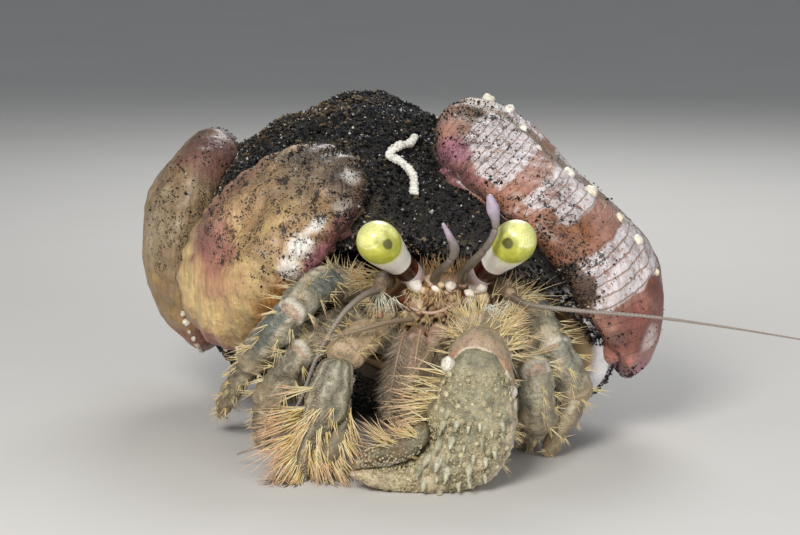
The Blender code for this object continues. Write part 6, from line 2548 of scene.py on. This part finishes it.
great_fans = joined([
    hand_bristles(great_rows, 72, (0.10, 0.44), (156.0, 206.0), (-0.4, -0.22, 0.55), (0.0, 0.0, -1.9),
                  6.0, 121, radius=0.095, spread=0.20, rose=0.5),
    hand_bristles(great_rows, 54, (0.42, 0.72), (156.0, 196.0), (-0.9, -0.15, 0.3), (0.0, 0.0, -0.6), 5.4,
                  123, radius=0.09, spread=0.20, rose=0.7),
    hand_bristles(finger_rows, 72, (0.02, 0.55), (120.0, 180.0), (-1.3, -0.15, 0.5), (0.0, 0.0, -0.5),
                  4.4, 125, radius=0.085, spread=0.22, rose=0.5),
    article_bristles(arm_left["carpus"], (0.0, 22.0, 45.0, 65.0, 90.0, 120.0, 150.0, 180.0), 3.4, 3.3,
                     127, lean=-0.35, radius=0.08),
    article_bristles(arm_left["merus"], (10.0, 60.0, 120.0), 2.6, 3.6, 129, lean=0.0, radius=0.06),
    hand_bristles(great_rows, 60, (0.08, 0.5), (-30.0, 5.0), (0.1, 0.1, -0.1), (0.0, 0.0, -0.6), 1.8, 131,
                  radius=0.06),
])
add_piece("great_claw_bristles", great_fans, bristle_horn, uv_name="OFBake")

# %% Leg bristles
TUFT_LENGTHS = {"merus": 3.2, "carpus": 3.1, "propodus": 2.7, "dactyl": 1.5}
rows_of_tufts = []
for number, (leg, articles) in enumerate(leg_articles.items()):
    inner = 10.0 if "right" in leg else 170.0
    outer = 170.0 if "right" in leg else 10.0
    for step, (part, length) in enumerate(TUFT_LENGTHS.items()):
        turns = (inner, 80.0, outer) if part != "dactyl" else (inner, 90.0, outer, 270.0)
        seed = 141 + 10 * number + 2 * step
        rows_of_tufts.append(article_bristles(articles[part], turns, 1.8, length, seed, lean=0.55))
add_piece("leg_bristles", joined(rows_of_tufts), bristle_horn, uv_name="OFBake")

# %% Bristles of the face
def tufts(start, end, toward_start, toward_end, number, per_tuft, length, seed, jitter=0.6, spread=0.35,
          radius=0.06, pale=0.0, dark=0.0):
    """Small bunches along a line: the bristles of one bunch share a root and spread out from it."""
    roots, share = row_of_roots(start, end, number, jitter, seed)
    headings = np.repeat(blend_to(unit(toward_start), unit(toward_end), share), per_tuft, axis=0)
    random = np.random.default_rng(seed + 3)
    roots = np.repeat(roots, per_tuft, axis=0) + random.normal(scale=0.08, size=(number * per_tuft, 3))
    lengths = np.repeat(length * random.uniform(0.7, 1.15, number), per_tuft)
    return bristles(roots, headings, lengths, radius, 0.06, spread, seed + 1, pale, dark)


face_fans = joined([
    # Beside the right eye, pointing out over the legs, and the same beside the left eye.
    tufts((-1.5, 4.6, 22.0), (-7.0, 5.4, 22.8), (-1.0, -0.6, 0.3), (-0.9, -0.7, 0.5), 18, 5, 5.0, 201,
          dark=0.12, radius=0.055, spread=0.30),
    tufts((12.6, 2.8, 21.4), (15.6, 1.8, 19.8), (0.8, -0.6, 0.8), (1.0, -0.6, 0.2), 16, 6, 4.8, 203,
          radius=0.055, spread=0.30),
    # Golden hair above the feelers' roots.
    fan((2.6, 5.2, 24.0), (9.4, 5.2, 24.0), (-0.3, -0.4, 1.0), (0.3, -0.4, 1.0), 110, 1.7, 205,
        jitter=0.4, dark=0.7, radius=0.05),
    fan((3.2, 3.6, 23.2), (8.6, 3.6, 23.2), (-0.5, -0.6, 0.8), (0.5, -0.6, 0.8), 60, 1.3, 206, jitter=0.4,
        dark=0.4, spread=0.4, radius=0.04),
    # Short hairs over the mouth, in bunches.
    tufts((1.2, 2.8, 21.4), (8.8, 2.6, 21.0), (-0.4, -0.5, -1.0), (0.4, -0.5, -1.0), 24, 5, 2.3, 207,
          jitter=0.4, spread=0.35, radius=0.045, dark=0.25),
    tufts((1.0, 2.2, 18.6), (9.0, 2.0, 18.2), (-0.5, -0.6, -0.8), (0.5, -0.6, -0.8), 14, 5, 2.6, 209,
          jitter=0.4, spread=0.40, radius=0.045, dark=0.3),
    # Pale stars under the bases of the long feelers.
    fan((-2.9, 0.6, 21.6), (-2.3, 0.4, 21.8), (-0.8, -0.5, -1.0), (0.7, -0.5, -1.0), 26, 3.7, 211,
        jitter=0.12, spread=0.30, radius=0.05, pale=0.8),
    fan((-1.3, 1.2, 20.6), (-0.6, 1.2, 20.8), (-0.5, -0.5, -1.0), (0.8, -0.5, -1.0), 18, 2.9, 213,
        jitter=0.12, spread=0.30, radius=0.045, pale=0.7),
    fan((10.8, 0.2, 19.8), (11.6, 0.2, 20.0), (-0.9, -0.5, -0.8), (1.0, -0.5, -0.2), 44, 3.0, 215,
        jitter=0.15, spread=0.45, radius=0.05, pale=0.9),
    fan((8.4, 1.6, 20.6), (8.9, 1.4, 20.7), (-0.6, -0.6, -0.8), (0.6, -0.6, -0.9), 20, 2.6, 216,
        jitter=0.12, spread=0.45, radius=0.045, pale=0.7),
    fan((13.8, 0.4, 20.4), (14.4, 0.4, 20.6), (-0.2, -0.5, -1.0), (1.0, -0.5, -0.3), 30, 3.0, 217,
        jitter=0.2, spread=0.35, radius=0.055, pale=0.5),
    # Long hair behind the hood of the great claw, rising in front of its arm.
    tufts((6.6, -7.4, 17.6), (9.6, -7.0, 19.0), (-0.8, -0.5, 0.7), (-0.2, -0.6, 1.0), 7, 6, 3.8, 227,
          spread=0.34, radius=0.08, pale=0.2),
    tufts((9.6, -7.0, 19.0), (13.4, -8.0, 16.6), (0.1, -0.6, 1.0), (1.0, -0.5, 0.6), 9, 6, 3.6, 229,
          spread=0.34, radius=0.08),
    tufts((8.4, -2.6, 19.2), (12.6, -3.2, 18.4), (-0.4, -0.5, 1.0), (0.7, -0.5, 0.9), 11, 6, 3.2, 231,
          spread=0.40, radius=0.06, pale=0.6),
    # The dense beard between the great claw's hood and the left legs.
    tufts((13.0, -0.5, 18.8), (15.0, -2.0, 14.0), (0.7, -0.5, 0.6), (1.0, -0.4, 0.0), 20, 7, 3.8, 219,
          spread=0.3),
    tufts((7.0, -0.5, 18.5), (9.5, -1.0, 19.2), (-0.9, -0.4, 0.5), (0.0, -0.5, 1.0), 13, 6, 2.6, 221,
          spread=0.3),
    tufts((0.2, 2.4, 18.4), (-3.0, 3.4, 19.6), (-0.6, -0.6, -0.6), (-1.0, -0.5, 0.2), 13, 6, 2.6, 223,
          spread=0.35, dark=0.1),
    tufts((9.2, 2.0, 18.0), (12.5, 2.0, 17.2), (0.0, -0.6, -0.7), (0.6, -0.5, -0.5), 11, 6, 2.4, 225,
          spread=0.35),
])
add_piece("face_bristles", face_fans, bristle_horn, uv_name="OFBake")

# %% [markdown]
# ### Feathers of the mouth
#
# The mouth legs sweep the water with soft plumes. A plume is a slim stem with two rows of fine barbs, like
# a feather, in shades of tan. The stems are tubes, and the barbs are finer needles of the same kind as the
# bristles.

# %% Plumes
BARB_RINGS = 4
BARB_POINTS = 3 * BARB_RINGS + 1


def plume(points, radius, barb, count, seed, toward, tint, sweep):
    """A stem through the points and barbs on both sides of it: they stand square to the stem in the plane
    of the direction toward, lean along the stem by the share sweep and are longest in its middle."""
    radii = [radius, radius * 0.9, radius * 0.7, radius * 0.35]
    stem = tube_shape(points, radii, sides=12, count=70, paint=tint * 0.9)
    rows = smooth_rows(points, 200)
    heading = unit(np.gradient(rows, axis=0))
    random = np.random.default_rng(seed)
    at = random.integers(6, 199, count)
    sign = np.where(random.random(count) < 0.5, -1.0, 1.0)[:, None]
    toward = np.asarray(toward, float)
    across = unit(toward - (heading[at] @ toward)[:, None] * heading[at])
    headings = across * sign + heading[at] * sweep
    lengths = barb * (0.35 + 0.65 * np.sin(np.pi * (0.12 + 0.8 * at / 200.0)))
    barbs = bristles(rows[at], headings, lengths, 0.030, 0.20, 0.16, seed + 1, rings=BARB_RINGS)
    pale = blend_to(tint * 0.75, colour(226, 204, 172), random.random(count) ** 1.6)
    barbs["values"]["paint"] = np.repeat(pale, BARB_POINTS, axis=0)
    return joined([stem, barbs])


PLUME_TAN = colour(172, 146, 118)
PLUMES = [
    # Points of the stem, its radius, length, number and seed of the barbs, the side they stand on, colour,
    # and how far the barbs lean along the stem.
    ([(1.6, 0.2, 18.4), (-1.6, -3.0, 18.6), (-5.2, -5.2, 18.0), (-8.6, -6.2, 17.4)],
     0.34, 1.2, 300, 301, (0, 0.3, 1), colour(146, 128, 106), 1.4),
    ([(7.4, -0.6, 18.6), (5.0, -3.2, 16.4), (2.6, -4.8, 13.8), (0.6, -5.4, 11.0)],
     0.22, 2.8, 560, 303, (0.7, 0.0, 0.7), PLUME_TAN, 0.9),
    ([(5.6, -0.6, 17.6), (4.6, -2.8, 14.6), (4.0, -4.0, 11.0), (4.2, -4.6, 7.6)],
     0.20, 2.4, 520, 305, (1, 0, 0), colour(172, 150, 128), 0.8),
    ([(0.6, -0.2, 17.2), (-0.2, -2.4, 14.4), (-1.0, -3.4, 10.6), (-1.6, -3.8, 6.6)],
     0.20, 2.6, 520, 307, (1, 0, 0), colour(150, 126, 106), 0.8),
    ([(2.6, 0.4, 17.0), (2.0, -1.8, 14.0), (1.6, -2.8, 10.0), (1.4, -3.2, 6.0)],
     0.22, 2.8, 560, 309, (1, 0, 0), PLUME_TAN, 0.7),
    ([(7.6, 1.0, 16.0), (6.2, -1.6, 13.2), (5.4, -3.0, 9.8), (5.0, -3.6, 6.4)],
     0.20, 2.4, 420, 311, (1, 0, 0), colour(158, 136, 112), 0.8),
]
plumes = joined([plume(*row) for row in PLUMES])
add_piece("mouth_plumes", plumes, bristle_horn, uv_name="OFBake")
